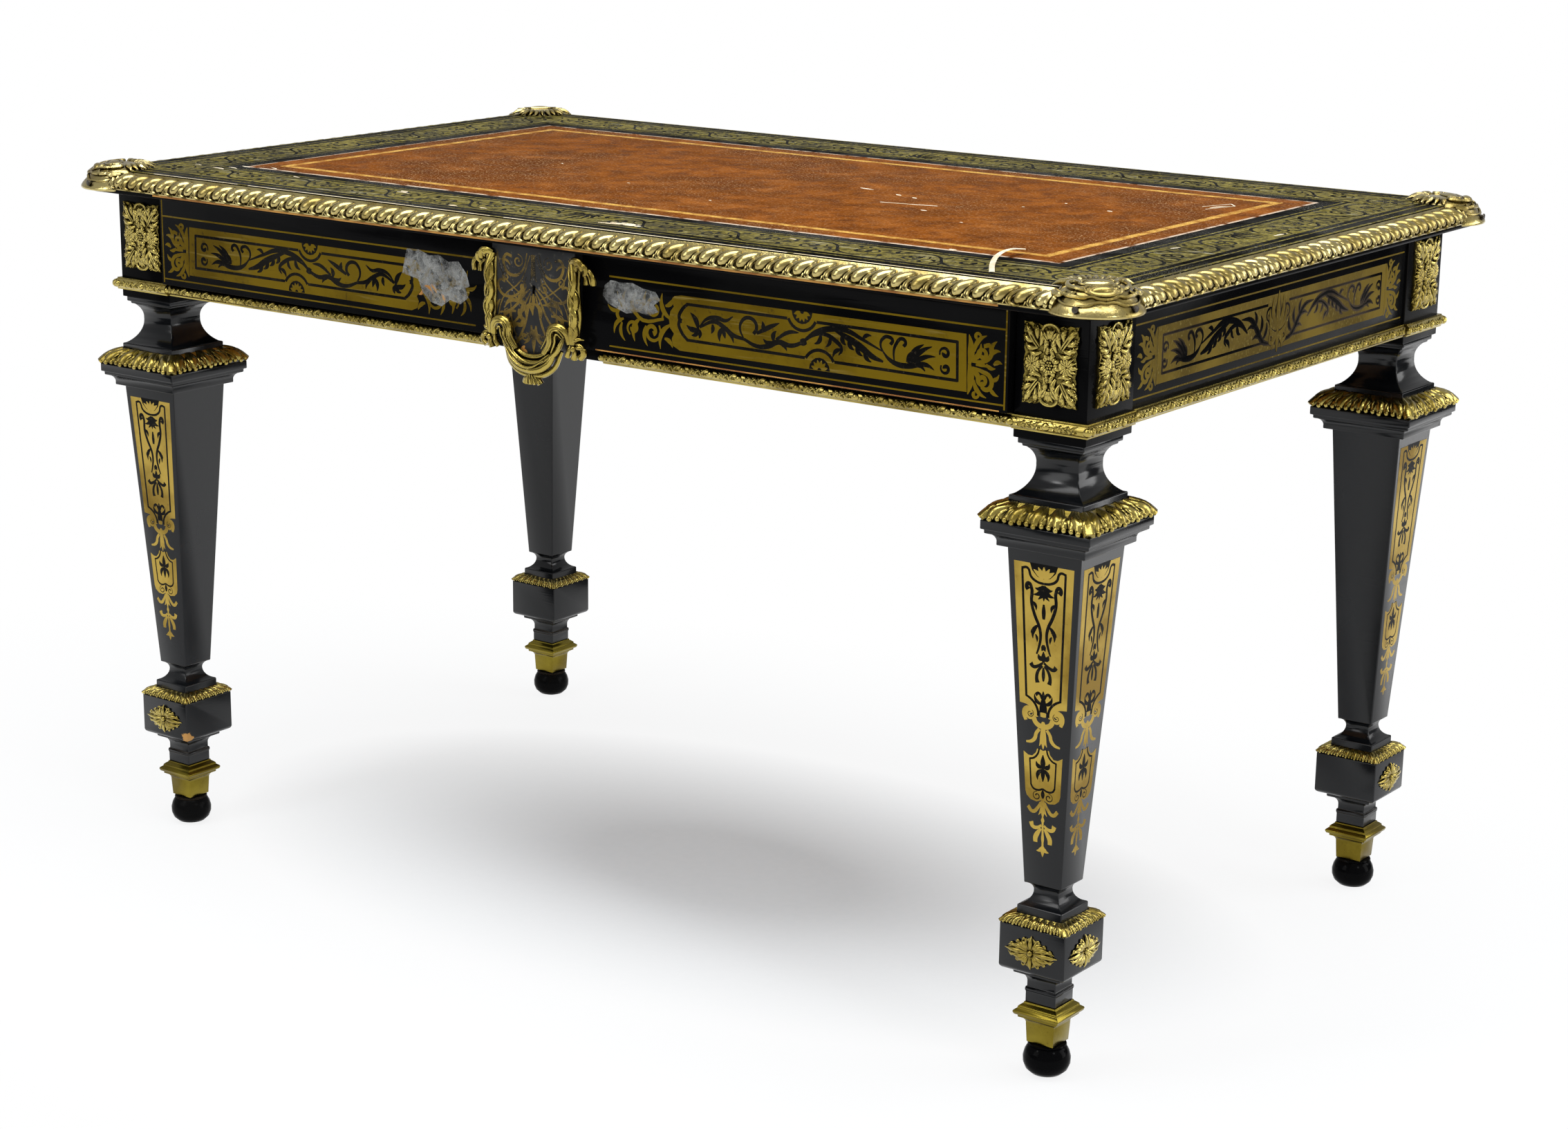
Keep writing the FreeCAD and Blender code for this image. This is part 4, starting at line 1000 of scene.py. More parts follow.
panel_scrolls = [
    swell(1.5, (15, 18.7), (8.6, 13), (5, 3.6), (8, 1.6), ends=(0.8, 1)),
    swell(1.5, (15, -16), (8.4, -10), (5, 0.6), (8, 1.6), ends=(0.8, 1)),
    leaf(2.4, (28.3, -4.2), (18.5, 11), -0.12),
    leaf(2.3, (28.3, -4.2), (14, -1.5), 0.16),
    leaf(2.2, (28.3, -4.2), (29.5, -13), 0.16),
    leaf(2, (28.3, -4.2), (20, -11), 0.2),
    swell(1.9, (30, -1), (39.3, 7.4), (51.2, 9.5), (61.4, 8), (70, 13)),
    swell(2, (30, -2), (48, 5.5), (60, 1), (70, -4.8), (83.5, -7.3), ends=(0.4, 0.6)),
    leaf(1.9, (45.4, 2.6), (44, -6.5), 0.14),
    leaf(2.1, (58, 0.6), (54.5, -13), -0.16),
    leaf(2.1, (58.5, 0.6), (71, -12.6), 0.16),
    leaf(1.9, (58, 0), (61, -9.5)),
    swell(1.5, (83, -7), (78.4, 3), (81.6, 11), (88.5, 14), (96.6, 10.4), (98, 4), (94.6, -1),
          ends=(0.4, 1)),
    swell(2.1, (83.5, -7.3), (98.7, -12.3), (112, -10.7), (123.5, -5.3), (139, -7), (153, -2),
          ends=(0.5, 0.6)),
    swell(2.6, (98.5, 0), (111.7, 7), (125, 13), ends=(0.3, 0.1)),
    leaf(2, (105, 3.4), (104.6, 12.4), -0.14),
    leaf(2.2, (118.5, -5), (121.5, 5), 0.2),
    leaf(2.2, (119, -5.4), (106, -4.2), 0.24),
    leaf(2.2, (122, -4.6), (134, -12.6), 0.16),
    swell(2, (121, -3.2), (136.5, 5.7), (147.5, 6.4), ends=(0.4, 0.2)),
    swell(3.2, (149.6, -2.6), (153, -1.8), (156.6, -0.8), ends=(0.6, 0.6)),
    *shift(half_scroll, 150.5, 0),
]
inner_spray = bolder([
    curl(2.2, (-26, 10), 13, -40, 1.3, 0.2),
    curl(2.2, (-28, -13), 11, 40, -1.3, 0.2),
    leaf(3, (-6, 2), (-16, 26), 0.2),
    leaf(3, (-6, -4), (-18, -29), -0.2),
    swell(2.2, (-14, 1), (-40, -3), (-58, 8), (-72, 2), (-68, -8), ends=(0.6, 0.9)),
    leaf(3, (-44, -2), (-50, -25), -0.2),
    leaf(2.6, (-50, 2), (-48, 24), 0.2),
    leaf(2.6, (-58, 6), (-72, 22), 0.16),
    leaf(2.4, (-64, -4), (-76, -20), -0.2),
    leaf(2.2, (-70, 4), (-84, 8), 0.2),
    curl(2, (-46, 12), 8, 120, 1.2, 0.2),
    curl(2, (-52, -12), 8, -120, -1.2, 0.2),
    leaf(2.6, (-12, 14), (-2, 24), -0.16),
    leaf(2.6, (-13, -18), (-3, -26), 0.16),
    leaf(2.4, (-34, 4), (-36, 26), 0.16),
    leaf(2.4, (-36, -8), (-34, -28), -0.16),
    leaf(2.2, (-66, -8), (-62, -26), -0.2),
    leaf(2.2, (-62, 8), (-60, 25), 0.2),
], 0.98)
panel_brass = shift(inner_spray + shift(end_spray, PANEL_LONG, 0.0), PANEL_NEAR, PANEL_MIDDLE) + [
    even(0.9, (88, 725.6), (546, 725.6)),
    even(0.8, (88, 656.3), (546, 656.3)),
    even(0.9, (546.4, 652), (546.4, 744)),
]
panel_black = shift(panel_border + bolder(panel_scrolls, 1.3), PANEL_NEAR, PANEL_MIDDLE)
shells = shift(shift(shell, *UPPER_SEAT) + shift(upend(shell), *LOWER_SEAT), PANEL_NEAR, PANEL_MIDDLE)
shell_mesh = lifted(drawn(both(shells), 0.05, 0), SEAT_PROUD)
seats = (arc(UPPER_SEAT, SEAT_ROUND, 180.0, 360.0), arc(LOWER_SEAT, SEAT_ROUND, 0.0, 180.0))
shell_seats = [slab([(hand * (PANEL_NEAR + a), PANEL_MIDDLE + u) for a, u in seat], SEAT_PROUD)
               for seat in seats for hand in (-1, 1)]
panel_black_mesh = lifted(drawn(both(panel_black), FLAT, 0), INLAY_PROUD)
panel_brass_mesh = drawn(both(panel_brass), 0.05, 0)
DRAWER_FACE = -0.3765
drawer_face = facing_to((0.0, DRAWER_FACE, 0.0), (1, 0, 0), (0, 0, 1))
back_face = facing_to((0.0, FACE_FRONT, 0.0), (-1, 0, 0), (0, 0, 1))
for name, face, body, node in (("drawer", drawer_face, "drawer", "drawer_inlays"),
                               ("back", back_face, "carcass", "back_inlays")):
    brass, black = bmesh.new(), bmesh.new()
    stamp(brass, panel_brass_mesh, face)
    stamp(brass, panel_plate, face)
    stamp(brass, panel_plate, face @ Matrix.Diagonal((-1.0, 1.0, 1.0, 1.0)))
    stamp(brass, shell_mesh, face)
    stamp(black, panel_black_mesh, face)
    for seat in shell_seats:
        stamp(black, seat, face)
    put(name + "_panels_brass", close_up(brass, "panel brass", 30.0), frieze_brass,
        body, [node])
    put(name + "_panels_black", close_up(black, "panel black", 30.0), black_ground, body)

# Hanging shield: a shaped board in the middle of the front, veneered black with brass scrolls that are
# worn thin and clouded, the bare wood showing at its foot.
clouded, tree, shader = new_finish("clouded veneer", {"Specular IOR Level": 0.3})
marks = effect(tree, wear, {"Size": 22.0})
film = effect(tree, wear, {"Size": 9.0})
colour = tint(tree, film["Patches"], srgb(18, 18, 19), srgb(46, 47, 48))
colour = tint(tree, times(tree, marks["Patches"], film["Specks"]), colour, srgb(122, 112, 92))
paint(tree, shader, colour)
roughen(tree, shader, film["Patches"], 0.4, 0.62)
bumpy(tree, shader, marks["Patches"], 0.2, 0.0003)
thin_brass, tree, shader = new_finish("thin brass", {"Metallic": 0.7})
marks = effect(tree, wear, {"Size": 40.0})
colour = tint(tree, marks["Patches"], srgb(134, 110, 48), srgb(40, 37, 30))
paint(tree, shader, tint(tree, marks["Specks"], colour, srgb(170, 146, 92)))
roughen(tree, shader, marks["Patches"], 0.4, 0.6)
bare_wood, tree, shader = new_finish("bare wood", {"Specular IOR Level": 0.25})
marks = effect(tree, wear, {"Size": 30.0})
paint(tree, shader, tint(tree, marks["Patches"], srgb(196, 142, 66), srgb(150, 96, 40)))
roughen(tree, shader, marks["Specks"], 0.55, 0.75)
SHIELD_THICK = 12.0
half_shield = [
    leaf(3, (1.5, 739), (4.4, 712), -0.1),
    swell(1.7, (8, 740), (14, 722), (27, 716), (38, 724), (36, 736), (28, 735), ends=(0.3, 0.9)),
    swell(1.5, (9, 716), (18, 700), (32, 694), (45, 700), (44, 710), (37, 709), ends=(0.3, 0.9)),
    swell(1.5, (3, 706), (12, 698), (22, 687), (34, 679), (46, 677), ends=(0.4, 0.4)),
    swell(1.4, (3, 702), (10, 691), (17, 678), (27, 668), (37, 664), ends=(0.4, 0.4)),
    swell(1.5, (3, 698), (7, 684), (11, 669), (17, 657), (24, 648), ends=(0.4, 0.4)),
    leaf(2.4, (20, 690), (38, 682), 0.24),
    leaf(2.2, (23, 680), (40, 668), 0.24),
    leaf(2.4, (18, 668), (30, 656), 0.2),
    leaf(2.6, (2, 690), (10, 676), 0.2),
    leaf(2.4, (3, 668), (13, 648), -0.16),
    swell(1.3, (6, 660), (18, 652), (26, 644), ends=(0.4, 0.3)),
    leaf(1.6, (46, 738), (50, 722), 0.1),
    leaf(1.6, (44, 690), (49, 676), 0.1),
    curl(0.9, (20, 731), 7, 90, 1.3, 0.2),
    curl(0.9, (36, 714), 6, 180, -1.3, 0.2),
    curl(0.9, (14, 706), 6, 30, 1.3, 0.2),
    curl(0.9, (34, 676), 6, 90, -1.3, 0.2),
    curl(0.9, (12, 656), 5, 120, 1.3, 0.2),
    swell(0.8, (4, 738), (16, 712), (40, 692), (48, 664), ends=(0.6, 0.6)),
    swell(0.8, (48, 740), (40, 716), (26, 704), (8, 694), ends=(0.6, 0.6)),
    swell(0.8, (30, 690), (28, 668), (18, 646), ends=(0.6, 0.6)),
    leaf(1.4, (30, 726), (44, 730), 0.2),
    leaf(1.4, (12, 690), (26, 700), -0.2),
    leaf(1.4, (26, 662), (36, 652), 0.2),
]
# The stem down the middle, and the leaves of a second stem that is left only on one side.
middle_shield = [
    leaf(2.8, (0, 664), (0, 640)), leaf(2.4, (0, 700), (0, 684)),
    leaf(3.4, (-14, 707), (-20, 694), 0.2), leaf(3, (-19, 697), (-10, 688), -0.2),
    leaf(3.4, (-12, 692), (-20, 680), 0.2), leaf(3, (-19, 683), (-11, 672), -0.2),
    leaf(3, (-13, 675), (-21, 665), 0.2), leaf(2.4, (-6, 690), (-1, 678), 0.1),
]
rubbed_through = [
    leaf(2.6, (-17, 641), (-8, 636), 0.2), leaf(2, (-12, 646), (-18, 640)),
    leaf(2.6, (9, 636), (19, 641), 0.1), leaf(2, (20, 648), (14, 642)),
]
eased("lambrequin", clouded, "drawer", 0.0006)
eased("back_lambrequin", clouded, "carcass", 0.0006)
shield_mesh = lifted(drawn(both(half_shield) + middle_shield, 0.04, 0), SHIELD_THICK)
rubbed_mesh = lifted(drawn(rubbed_through, 0.05, 0), SHIELD_THICK)
for name, face, body in (("drawer", drawer_face, "drawer"), ("back", back_face, "carcass")):
    set_in(name + "_shield_scrolls", shield_mesh, face, 30.0, thin_brass, body)
set_in("shield_bare_patches", rubbed_mesh, drawer_face, 30.0, bare_wood, "drawer")

# Drapery: a cast and gilt cloth knotted at the shield's upper corners, hung down its sides, caught up
# in two bunches and swagged round its foot with a tassel. It is pinned to the drawer front and the shield.
# A darker copy of the gilding, its occlusion reaching further: painted shade in the folds of the cloth
shaded_cloth_gilt = gilding("drapery gilding", srgb(180, 160, 74), srgb(140, 119, 43), (0.16, 0.3), 0.012)
half_cloth = [
    swell(4.7, (52, 737, 13), (56.4, 717, 16.6), (52.2, 698, 16), (57.4, 682, 16.6),
          (52.8, 668, 16), (53, 656, 15), ends=(0.8, 0.75)),
    swell(4.6, (58, 737, 12.6), (52.6, 717, 14.8), (57.4, 698, 15), (53.2, 682, 15),
          (57, 669, 15), (53.6, 656, 14.6), ends=(0.8, 0.8)),
    swell(3.6, (60, 733, 11), (57.6, 712, 12), (58.4, 696, 12), (59.4, 682, 12),
          (57.8, 669, 12), (55.6, 657, 12), ends=(0.7, 0.7)),
    swell(3.2, (50, 733, 11), (50.4, 712, 12), (50.8, 696, 12), (51.6, 682, 12),
          (50.4, 669, 12.4), ends=(0.7, 0.8)),
    swell(1.3, (48.8, 732, 15), (55, 720, 21), (60.8, 708, 16), ends=(0.4, 0.4)),
    swell(1.3, (48.6, 716, 15.4), (54.4, 704, 20.4), (61, 692, 16), ends=(0.4, 0.4)),
    swell(1.3, (49, 700, 15.4), (55.6, 689, 20.6), (61.8, 679, 16), ends=(0.4, 0.4)),
    swell(1.2, (49.6, 684, 15.6), (55, 674, 20.4), (60, 665, 16), ends=(0.4, 0.4)),
    swell(4.4, (51.6, 736.6, 13), (57, 739, 15), (64, 737.4, 15.6), (65.6, 730.6, 14), ends=(0.9, 0.8)),
    swell(3.4, (60, 733.6, 14), (66.6, 735.4, 15.4), (70.6, 730.4, 14.4), (67, 725.6, 13), ends=(0.8, 0.8)),
    swell(1.3, (54, 740, 17.6), (61, 740, 19.4), (66.6, 735, 19), ends=(0.5, 0.5)),
    swell(3, (66, 732, 11), (73.4, 730, 12.6), (77.4, 723.6, 12.4), (77, 717, 11.4), ends=(0.7, 1.2)),
    swell(2.8, (63, 729, 11), (68.6, 724, 12.4), (69, 716.6, 12), ends=(0.7, 1.2)),
    swell(1, (69, 730, 14.6), (74.6, 725, 15.6), (76, 718, 14.6), ends=(0.5, 0.8)),
    swell(4.7, (50, 656, 15), (46.6, 667, 17.4), (36.6, 671.6, 18.4), (28, 666.6, 18.4),
          (26.6, 654, 18), (18.6, 643, 17.6), ends=(0.8, 0.8)),
    swell(1.4, (46, 662, 20), (38.6, 668.6, 22), (31.6, 666.6, 22), (30.4, 655, 22),
          (23, 643.6, 21.4), ends=(0.6, 0.6)),
    swell(1.3, (42, 661, 19.6), (37.6, 664.6, 21.6), (35, 656, 21.4), (29, 645, 20), ends=(0.5, 0.5)),
    swell(1.2, (34, 674.6, 19.4), (26.6, 670.6, 20), (23.6, 659, 20.4), (16.4, 647.6, 20), ends=(0.5, 0.5)),
    swell(3.8, (40, 661, 13), (36, 652, 15), (29, 642, 16), (20, 635.4, 16), ends=(0.5, 0.7)),
    swell(3.3, (54, 657, 13), (62.6, 654, 13.6), (65.6, 647.6, 13), (61, 642.6, 12.4), ends=(0.8, 1.2)),
    swell(3.1, (52, 655, 13.4), (55.4, 648, 14), (53.4, 640.6, 13), ends=(0.8, 1.2)),
    swell(2.8, (50, 655, 13.4), (48.4, 648, 14.4), (45, 642.6, 13), ends=(0.8, 1.2)),
    leaf(2.6, (54, 656, 15), (66.4, 661, 13), 0.2, 2),
    leaf(2.4, (56, 652, 15), (68.6, 651.6, 13), 0.1, 2),
]
swags = [
    swell(4.6, (-30, 645, 15), (-22, 631.6, 17.6), (0, 624.4, 18), (22, 631.6, 17.6),
          (30, 645, 15), ends=(0.7, 0.7)),
    swell(3.8, (-33, 652, 15.4), (-23, 638, 17), (0, 631, 17.4), (23, 638, 17),
          (33, 652, 15.4), ends=(0.5, 0.5)),
    swell(3, (-31, 657, 14.4), (-21, 644, 15.4), (0, 637.4, 16), (21, 644, 15.4),
          (31, 657, 14.4), ends=(0.5, 0.5)),
    swell(3.6, (-37, 646, 12), (-26, 626.4, 14), (0, 618.6, 15), (26, 626.4, 14),
          (37, 646, 12), ends=(0.5, 0.5)),
    swell(1.5, (-30, 642, 19.4), (-18, 631.4, 22), (2, 627.4, 22.4), (20, 636, 21), ends=(0.4, 0.4)),
    swell(1.4, (-28, 650, 18.6), (-14, 636.4, 20.4), (8, 632.4, 20.8), (26, 643, 19.6), ends=(0.4, 0.4)),
    swell(1.4, (-24, 629, 17.4), (-6, 622, 19.4), (14, 624, 19), (29, 636, 17.6), ends=(0.4, 0.4)),
]
for across, out in ((-10, 13.6), (-5.4, 15), (0, 15.8), (5.4, 15), (10, 13.6)):
    swags.append(swell(3.3, (across * 0.24, 622.6, out), (across * 0.66, 616, out + 0.8),
                       (across, 609.8, out - 0.4), ends=(0.5, 1.1)))
    swags.append(swell(1.1, (across * 0.2, 621, out + 3), (across * 0.7 + 0.8, 615, out + 3.8),
                       (across + 1, 609.6, out + 2.8), ends=(0.5, 1)))
bm = bmesh.new()
bm.from_mesh(drawn(both(half_cloth) + swags, 1.0, 2, 6))
for hand in (-1, 1):
    bead(bm, hand * 59.6, 737.4, 16.0, 3.8, round_about=12)
    bead(bm, hand * 55.0, 651.4, 16.4, 3.4, round_about=10)
bead(bm, 0.0, 624.6, 18.4, 4.2, round_about=12)
cloth = close_up(bm, "cloth", 60.0)
for name, face, body, node in (("drawer", drawer_face, "drawer", "drapery_mount"),
                               ("back", back_face, "carcass", "back_drapery")):
    set_in(name + "_drapery_cast", cloth, face, 60.0, shaded_cloth_gilt, body, [node])

# Tissue: two torn scraps of thin white tissue pasted over the lifting brass on the drawer front, with bare
# wood showing beside one of them where the brass is gone.
tissue, tree, shader = new_finish("tissue", {"Specular IOR Level": 0.2, "Roughness": 0.7})
marks = effect(tree, wear, {"Size": 30.0})
paint(tree, shader, tint(tree, marks["Patches"], srgb(172, 172, 168), srgb(124, 123, 120)))
where = on_surface(tree)
fibres = {"Vector": where, "Scale": 110.0, "Detail": 7.0, "Roughness": 0.65}
pulp = add_node(tree, "ShaderNodeTexNoise", fibres).outputs
crumple = {0: pulp[1], 1: (0.03, 0.03, 0.03), 2: where}
crumpled = add_node(tree, "ShaderNodeVectorMath", crumple, operation="MULTIPLY_ADD").outputs[0]
cracks = {"Vector": crumpled, "Scale": 75.0}
folds = add_node(tree, "ShaderNodeTexVoronoi", cracks, feature="DISTANCE_TO_EDGE").outputs["Distance"]
crease = spread(tree, folds, 0.07, 0.0, 0.0, 0.28)
thin = add_node(tree, "ShaderNodeMath", {0: crease, 1: spread(tree, pulp[0], 0.4, 0.62, 0.08, 0.56)})
tree.links.new(thin.outputs[0], shader["Alpha"])
bumpy(tree, shader, folds, 0.4, 0.001)
TISSUE_THICK, TISSUE_PROUD = 0.1, 0.4
TISSUE_LEFT = (
    (-188, 700), (-184, 716), (-181, 726), (-165, 727), (-150, 722), (-137, 724),
    (-124, 718), (-110, 720), (-99, 708), (-95, 696), (-101, 693), (-97, 684),
    (-108, 676), (-122, 679), (-134, 671), (-149, 674), (-160, 683), (-166, 696),
)
TISSUE_RIGHT = (
    (82, 716), (90, 722), (104, 721), (117, 722), (130, 718), (146, 716), (152, 709),
    (144, 703), (150, 697), (138, 692), (124, 694), (110, 691), (97, 695), (86, 699),
    (80, 706),
)
bm = bmesh.new()
for outline in (TISSUE_LEFT, TISSUE_RIGHT):
    stamp(bm, lifted(slab(outline[::-1], TISSUE_THICK), TISSUE_PROUD), drawer_face)
put("drawer_tissue", close_up(bm, "tissue", 30.0), tissue, "drawer")
lost_brass = [
    leaf(3.4, (-158, 690), (-146, 682), 0.2), leaf(2.6, (-149, 692), (-141, 684), 0.1),
    leaf(2.2, (-134, 684), (-130, 674), 0.1), leaf(2, (-160, 686), (-166, 680), 0.2),
    even(0.6, (70, 650.4), (300, 650.4), (541, 650.4)),
]
set_in("drawer_bare_patches", drawn(lost_brass, 0.3, 0), drawer_face, 30.0, bare_wood,
       "drawer")

# Lock: an iron case let into the back of the drawer front, its bolt rising into the rail.
iron, tree, shader = new_finish("iron", {"Metallic": 1.0})
marks = effect(tree, wear, {"Size": 24.0})
colour = tint(tree, marks["Patches"], srgb(84, 80, 74), srgb(52, 48, 42))
paint(tree, shader, tint(tree, marks["Specks"], colour, srgb(70, 46, 30)))
roughen(tree, shader, marks["Patches"], 0.36, 0.55)
bumpy(tree, shader, marks["Scratches"], 0.15, 0.0002)
eased("lock_case", iron, "drawer", 0.0004)
eased("lock_bolt", iron, "lock_bolt", 0.0003)


# Top board: a framed board with a lip under its edge, black beneath. Along the front the lip is rubbed
# down to the wood, which shows as a thin brown line under the gilt edge.
eased("top_board", black_wood, ease=0.0005)
LIP_FACE, LIP_LEVEL = -0.395, 750.3
bare_line = drawn([even(1.1, (-540, LIP_LEVEL), (0, LIP_LEVEL), (548, LIP_LEVEL))], 0.3, 1)
lip_face = facing_to((0.0, LIP_FACE, 0.0), (1, 0, 0), (0, 0, 1))
set_in("front_lip_bare_line", bare_line, lip_face, 40.0, bare_wood)

# Border: black veneer laid in four mitred strips, with a broad band of brass sawn through in scrolls, a
# fine brass line each side of it and a brass fillet at the edge. It is tarnished, lifting and dusty.
top_black, tree, shader = new_finish("border black", {"Specular IOR Level": 0.004})
marks = effect(tree, wear, {"Size": 10.0})
film = effect(tree, wear, {"Size": 34.0})
colour = tint(tree, marks["Patches"], srgb(8, 8, 7), srgb(17, 17, 15))
colour = tint(tree, times(tree, film["Patches"], marks["Patches"]), colour, srgb(27, 27, 23))
paint(tree, shader, tint(tree, times(tree, film["Specks"], marks["Patches"]), colour, srgb(170, 168, 158)))
roughen(tree, shader, film["Patches"], 0.3, 0.5)
bumpy(tree, shader, film["Patches"], 0.2, 0.0003)
top_brass, tree, shader = new_finish("border brass", {"Metallic": 0.35, "Specular IOR Level": 0.004})
marks = effect(tree, wear, {"Size": 8.0})
film = effect(tree, wear, {"Size": 30.0})
colour = tint(tree, marks["Patches"], srgb(130, 118, 44), srgb(80, 72, 25))
colour = tint(tree, film["Patches"], colour, srgb(112, 102, 40))
grime_and_glints = noise(tree, on_surface(tree), 190.0, 6.0, 0.7)
# Where this noise runs high it gives dark grime; where it runs low it gives pale specks, which are painted
# glints on the brass
colour = tint(tree, spread(tree, grime_and_glints, 0.5, 0.6), colour, srgb(28, 27, 11))
colour = tint(tree, spread(tree, grime_and_glints, 0.4, 0.32), colour, srgb(190, 182, 114))
paint(tree, shader, tint(tree, times(tree, marks["Scratches"], film["Patches"]), colour, srgb(186, 182, 158)))
roughen(tree, shader, film["Patches"], 0.36, 0.55)
bumpy(tree, shader, film["Patches"], 0.2, 0.0003)
eased("marquetry_border", top_black, ease=0.0003)

LEATHER_HALF_WIDE, LEATHER_HALF_DEEP = 531.0, 264.0
TOP_LEVEL = 0.770
BRASS_LEVEL = TOP_LEVEL + INLAY_PROUD / 1000
SCROLL_PITCH = 58.0


def top_frame(inside, outside):
    """Four mitred plates round the leather, from one distance out from its edge to another."""
    bm = bmesh.new()
    corners = []
    for out in (inside, outside):
        across, along = LEATHER_HALF_WIDE + out, LEATHER_HALF_DEEP + out
        corners.append([(-across, -along), (across, -along), (across, along), (-across, along)])
    for place in range(4):
        after = (place + 1) % 4
        plate = (corners[1][place], corners[1][after], corners[0][after], corners[0][place])
        bm.from_mesh(slab(plate, INLAY_PROUD))
    bmesh.ops.translate(bm, vec=(0.0, 0.0, TOP_LEVEL), verts=bm.verts)
    mesh = bpy.data.meshes.new("frame")
    bm.to_mesh(mesh)
    bm.free()
    return mesh


def scroll_wave(half_long, high, near):
    """Half a band of running scrolls: a waving stem with a scroll and leaves in every bend."""
    count = round((half_long - near) / SCROLL_PITCH)
    pitch = (half_long - near) / count
    lines = []
    for place in range(count):
        hand = 1.0 if place % 2 else -1.0
        left = near + pitch * place

        def at(along, up):
            return left + pitch * along, hand * high * up

        lines += [
            swell(2, at(0, 0), at(0.2, 0.6), at(0.5, 0.86), at(0.8, 0.6), at(1, 0), ends=(0.7, 0.7)),
            curl(1.9, at(0.52, -0.1), high * 0.62, 50 * hand, -1.45 * hand, 0.16),
            leaf(2.6, at(0.1, 0.3), at(0.02, 0.92), 0.16 * hand),
            leaf(2.2, at(0.16, 0.5), at(0.22, 0.98), 0.1 * hand),
            leaf(2.6, at(0.9, 0.3), at(0.98, 0.92), -0.16 * hand),
            leaf(2.4, at(0.3, -0.56), at(0.1, -0.9), 0.2 * hand),
            leaf(2.2, at(0.44, -0.7), at(0.34, -0.98), 0.1 * hand),
            leaf(2.4, at(0.74, -0.5), at(0.9, -0.86), -0.2 * hand),
            leaf(2, at(0.84, -0.1), at(0.99, -0.46), 0.1 * hand),
            leaf(1.9, at(0.5, -0.1), at(0.38, 0.22), 0.2 * hand),
            leaf(1.9, at(0.56, -0.14), at(0.66, 0.18), 0.2 * hand),
            leaf(1.7, at(0.52, -0.2), at(0.56, -0.44), 0.2 * hand),
        ]
    return lines


BAND_MIDDLE, SCROLL_HALF_HIGH = 55.0, 25.38
BAND_END, PALMETTE_ROOM = 24.0, 26.0
palmette = [leaf(3, (0, -16), (0, 23)), leaf(2.4, (0, -12), (0, -25))]
for hand in (-1.0, 1.0):
    palmette += [
        leaf(2.8, (hand * 1.5, -14), (hand * 10, 18), -0.14 * hand),
        leaf(2.6, (hand * 2, -15), (hand * 18, 8), -0.2 * hand),
        leaf(2.4, (hand * 2, -16), (hand * 20, -8), -0.24 * hand),
        curl(1.7, (hand * 12, -18), 6, 90, -1.1 * hand, 0.2),
    ]
rosette = [curl(1.6, (0, 0), 24, 0, 1, 1)]
for turn in range(8):
    angle = math.tau * turn / 8
    reach = 21.0 if turn % 2 else 17.0
    rosette.append(leaf(3.2, (4 * math.cos(angle), 4 * math.sin(angle)),
                        (reach * math.cos(angle), reach * math.sin(angle))))
long_half = scroll_wave(LEATHER_HALF_WIDE + BAND_END, SCROLL_HALF_HIGH, PALMETTE_ROOM)
short_half = scroll_wave(LEATHER_HALF_DEEP + BAND_END, SCROLL_HALF_HIGH, PALMETTE_ROOM)
long_band = drawn(both(long_half) + palmette, FLAT, 0, 3)
short_band = drawn(both(short_half) + palmette, FLAT, 0, 3)
corner_rose = drawn(rosette, FLAT, 0, 3)
black = bmesh.new()
long_out, short_out = (LEATHER_HALF_DEEP + BAND_MIDDLE) / 1000, (LEATHER_HALF_WIDE + BAND_MIDDLE) / 1000
for hand in (-1, 1):
    stamp(black, long_band, facing_to((0.0, hand * long_out, BRASS_LEVEL), (hand, 0, 0), (0, hand, 0)))
    stamp(black, short_band, facing_to((hand * short_out, 0.0, BRASS_LEVEL), (0, -hand, 0), (hand, 0, 0)))
for side, end in CORNERS.values():
    stamp(black, corner_rose, Matrix.Translation((side * short_out, end * long_out, BRASS_LEVEL)))
put("border_scrolls_black", close_up(black, "border black", 30.0), top_black)
INNER_LINE, BAND, OUTER_LINE, FILLET = (18.0, 20.6), (26.0, 84.0), (92.0, 94.8), (106.6, 110.8)
brass = bmesh.new()
for inside, outside in (INNER_LINE, BAND, OUTER_LINE, FILLET):
    brass.from_mesh(top_frame(inside, outside))
put("border_brass", close_up(brass, "border brass", 30.0), top_brass)

# Leather: one russet hide glued into the sunk middle of the top, its edge pared and worn pale, scuffed
# and flecked, and tooled near the edge with a gilt band.
hide, tree, shader = new_finish("russet leather", {"Specular IOR Level": 0.004})
marks = effect(tree, wear, {"Size": 5.0})
scuffs = effect(tree, wear, {"Size": 18.0})
where = on_surface(tree)
cells = add_node(tree, "ShaderNodeTexVoronoi", {"Vector": where, "Scale": 620.0}).outputs["Distance"]
mottle = noise(tree, where, 60.0, 8.0)
colour = tint(tree, marks["Patches"], srgb(124, 69, 20), srgb(98, 52, 13))
colour = tint(tree, spread(tree, mottle, 0.3, 0.56), srgb(92, 47, 10), colour)
blotch = noise(tree, where, 22.0, 6.0)
colour = tint(tree, spread(tree, blotch, 0.52, 0.36, 0.0, 0.5), colour, srgb(72, 35, 5))
colour = tint(tree, spread(tree, blotch, 0.54, 0.7, 0.0, 0.36), colour, srgb(164, 100, 42))
scuffed = times(tree, times(tree, scuffs["Patches"], scuffs["Scratches"]), 0.2)
colour = tint(tree, scuffed, colour, srgb(196, 140, 84))
colour = tint(tree, times(tree, scuffs["Specks"], marks["Patches"]), colour, srgb(206, 172, 128))
rubbed = noise(tree, where, 330.0, 4.0, 0.7)
colour = tint(tree, spread(tree, rubbed, 0.54, 0.8, 0.0, 0.6), colour, srgb(206, 160, 116))
colour = tint(tree, spread(tree, rubbed, 0.46, 0.3, 0.0, 0.6), colour, srgb(74, 36, 8))
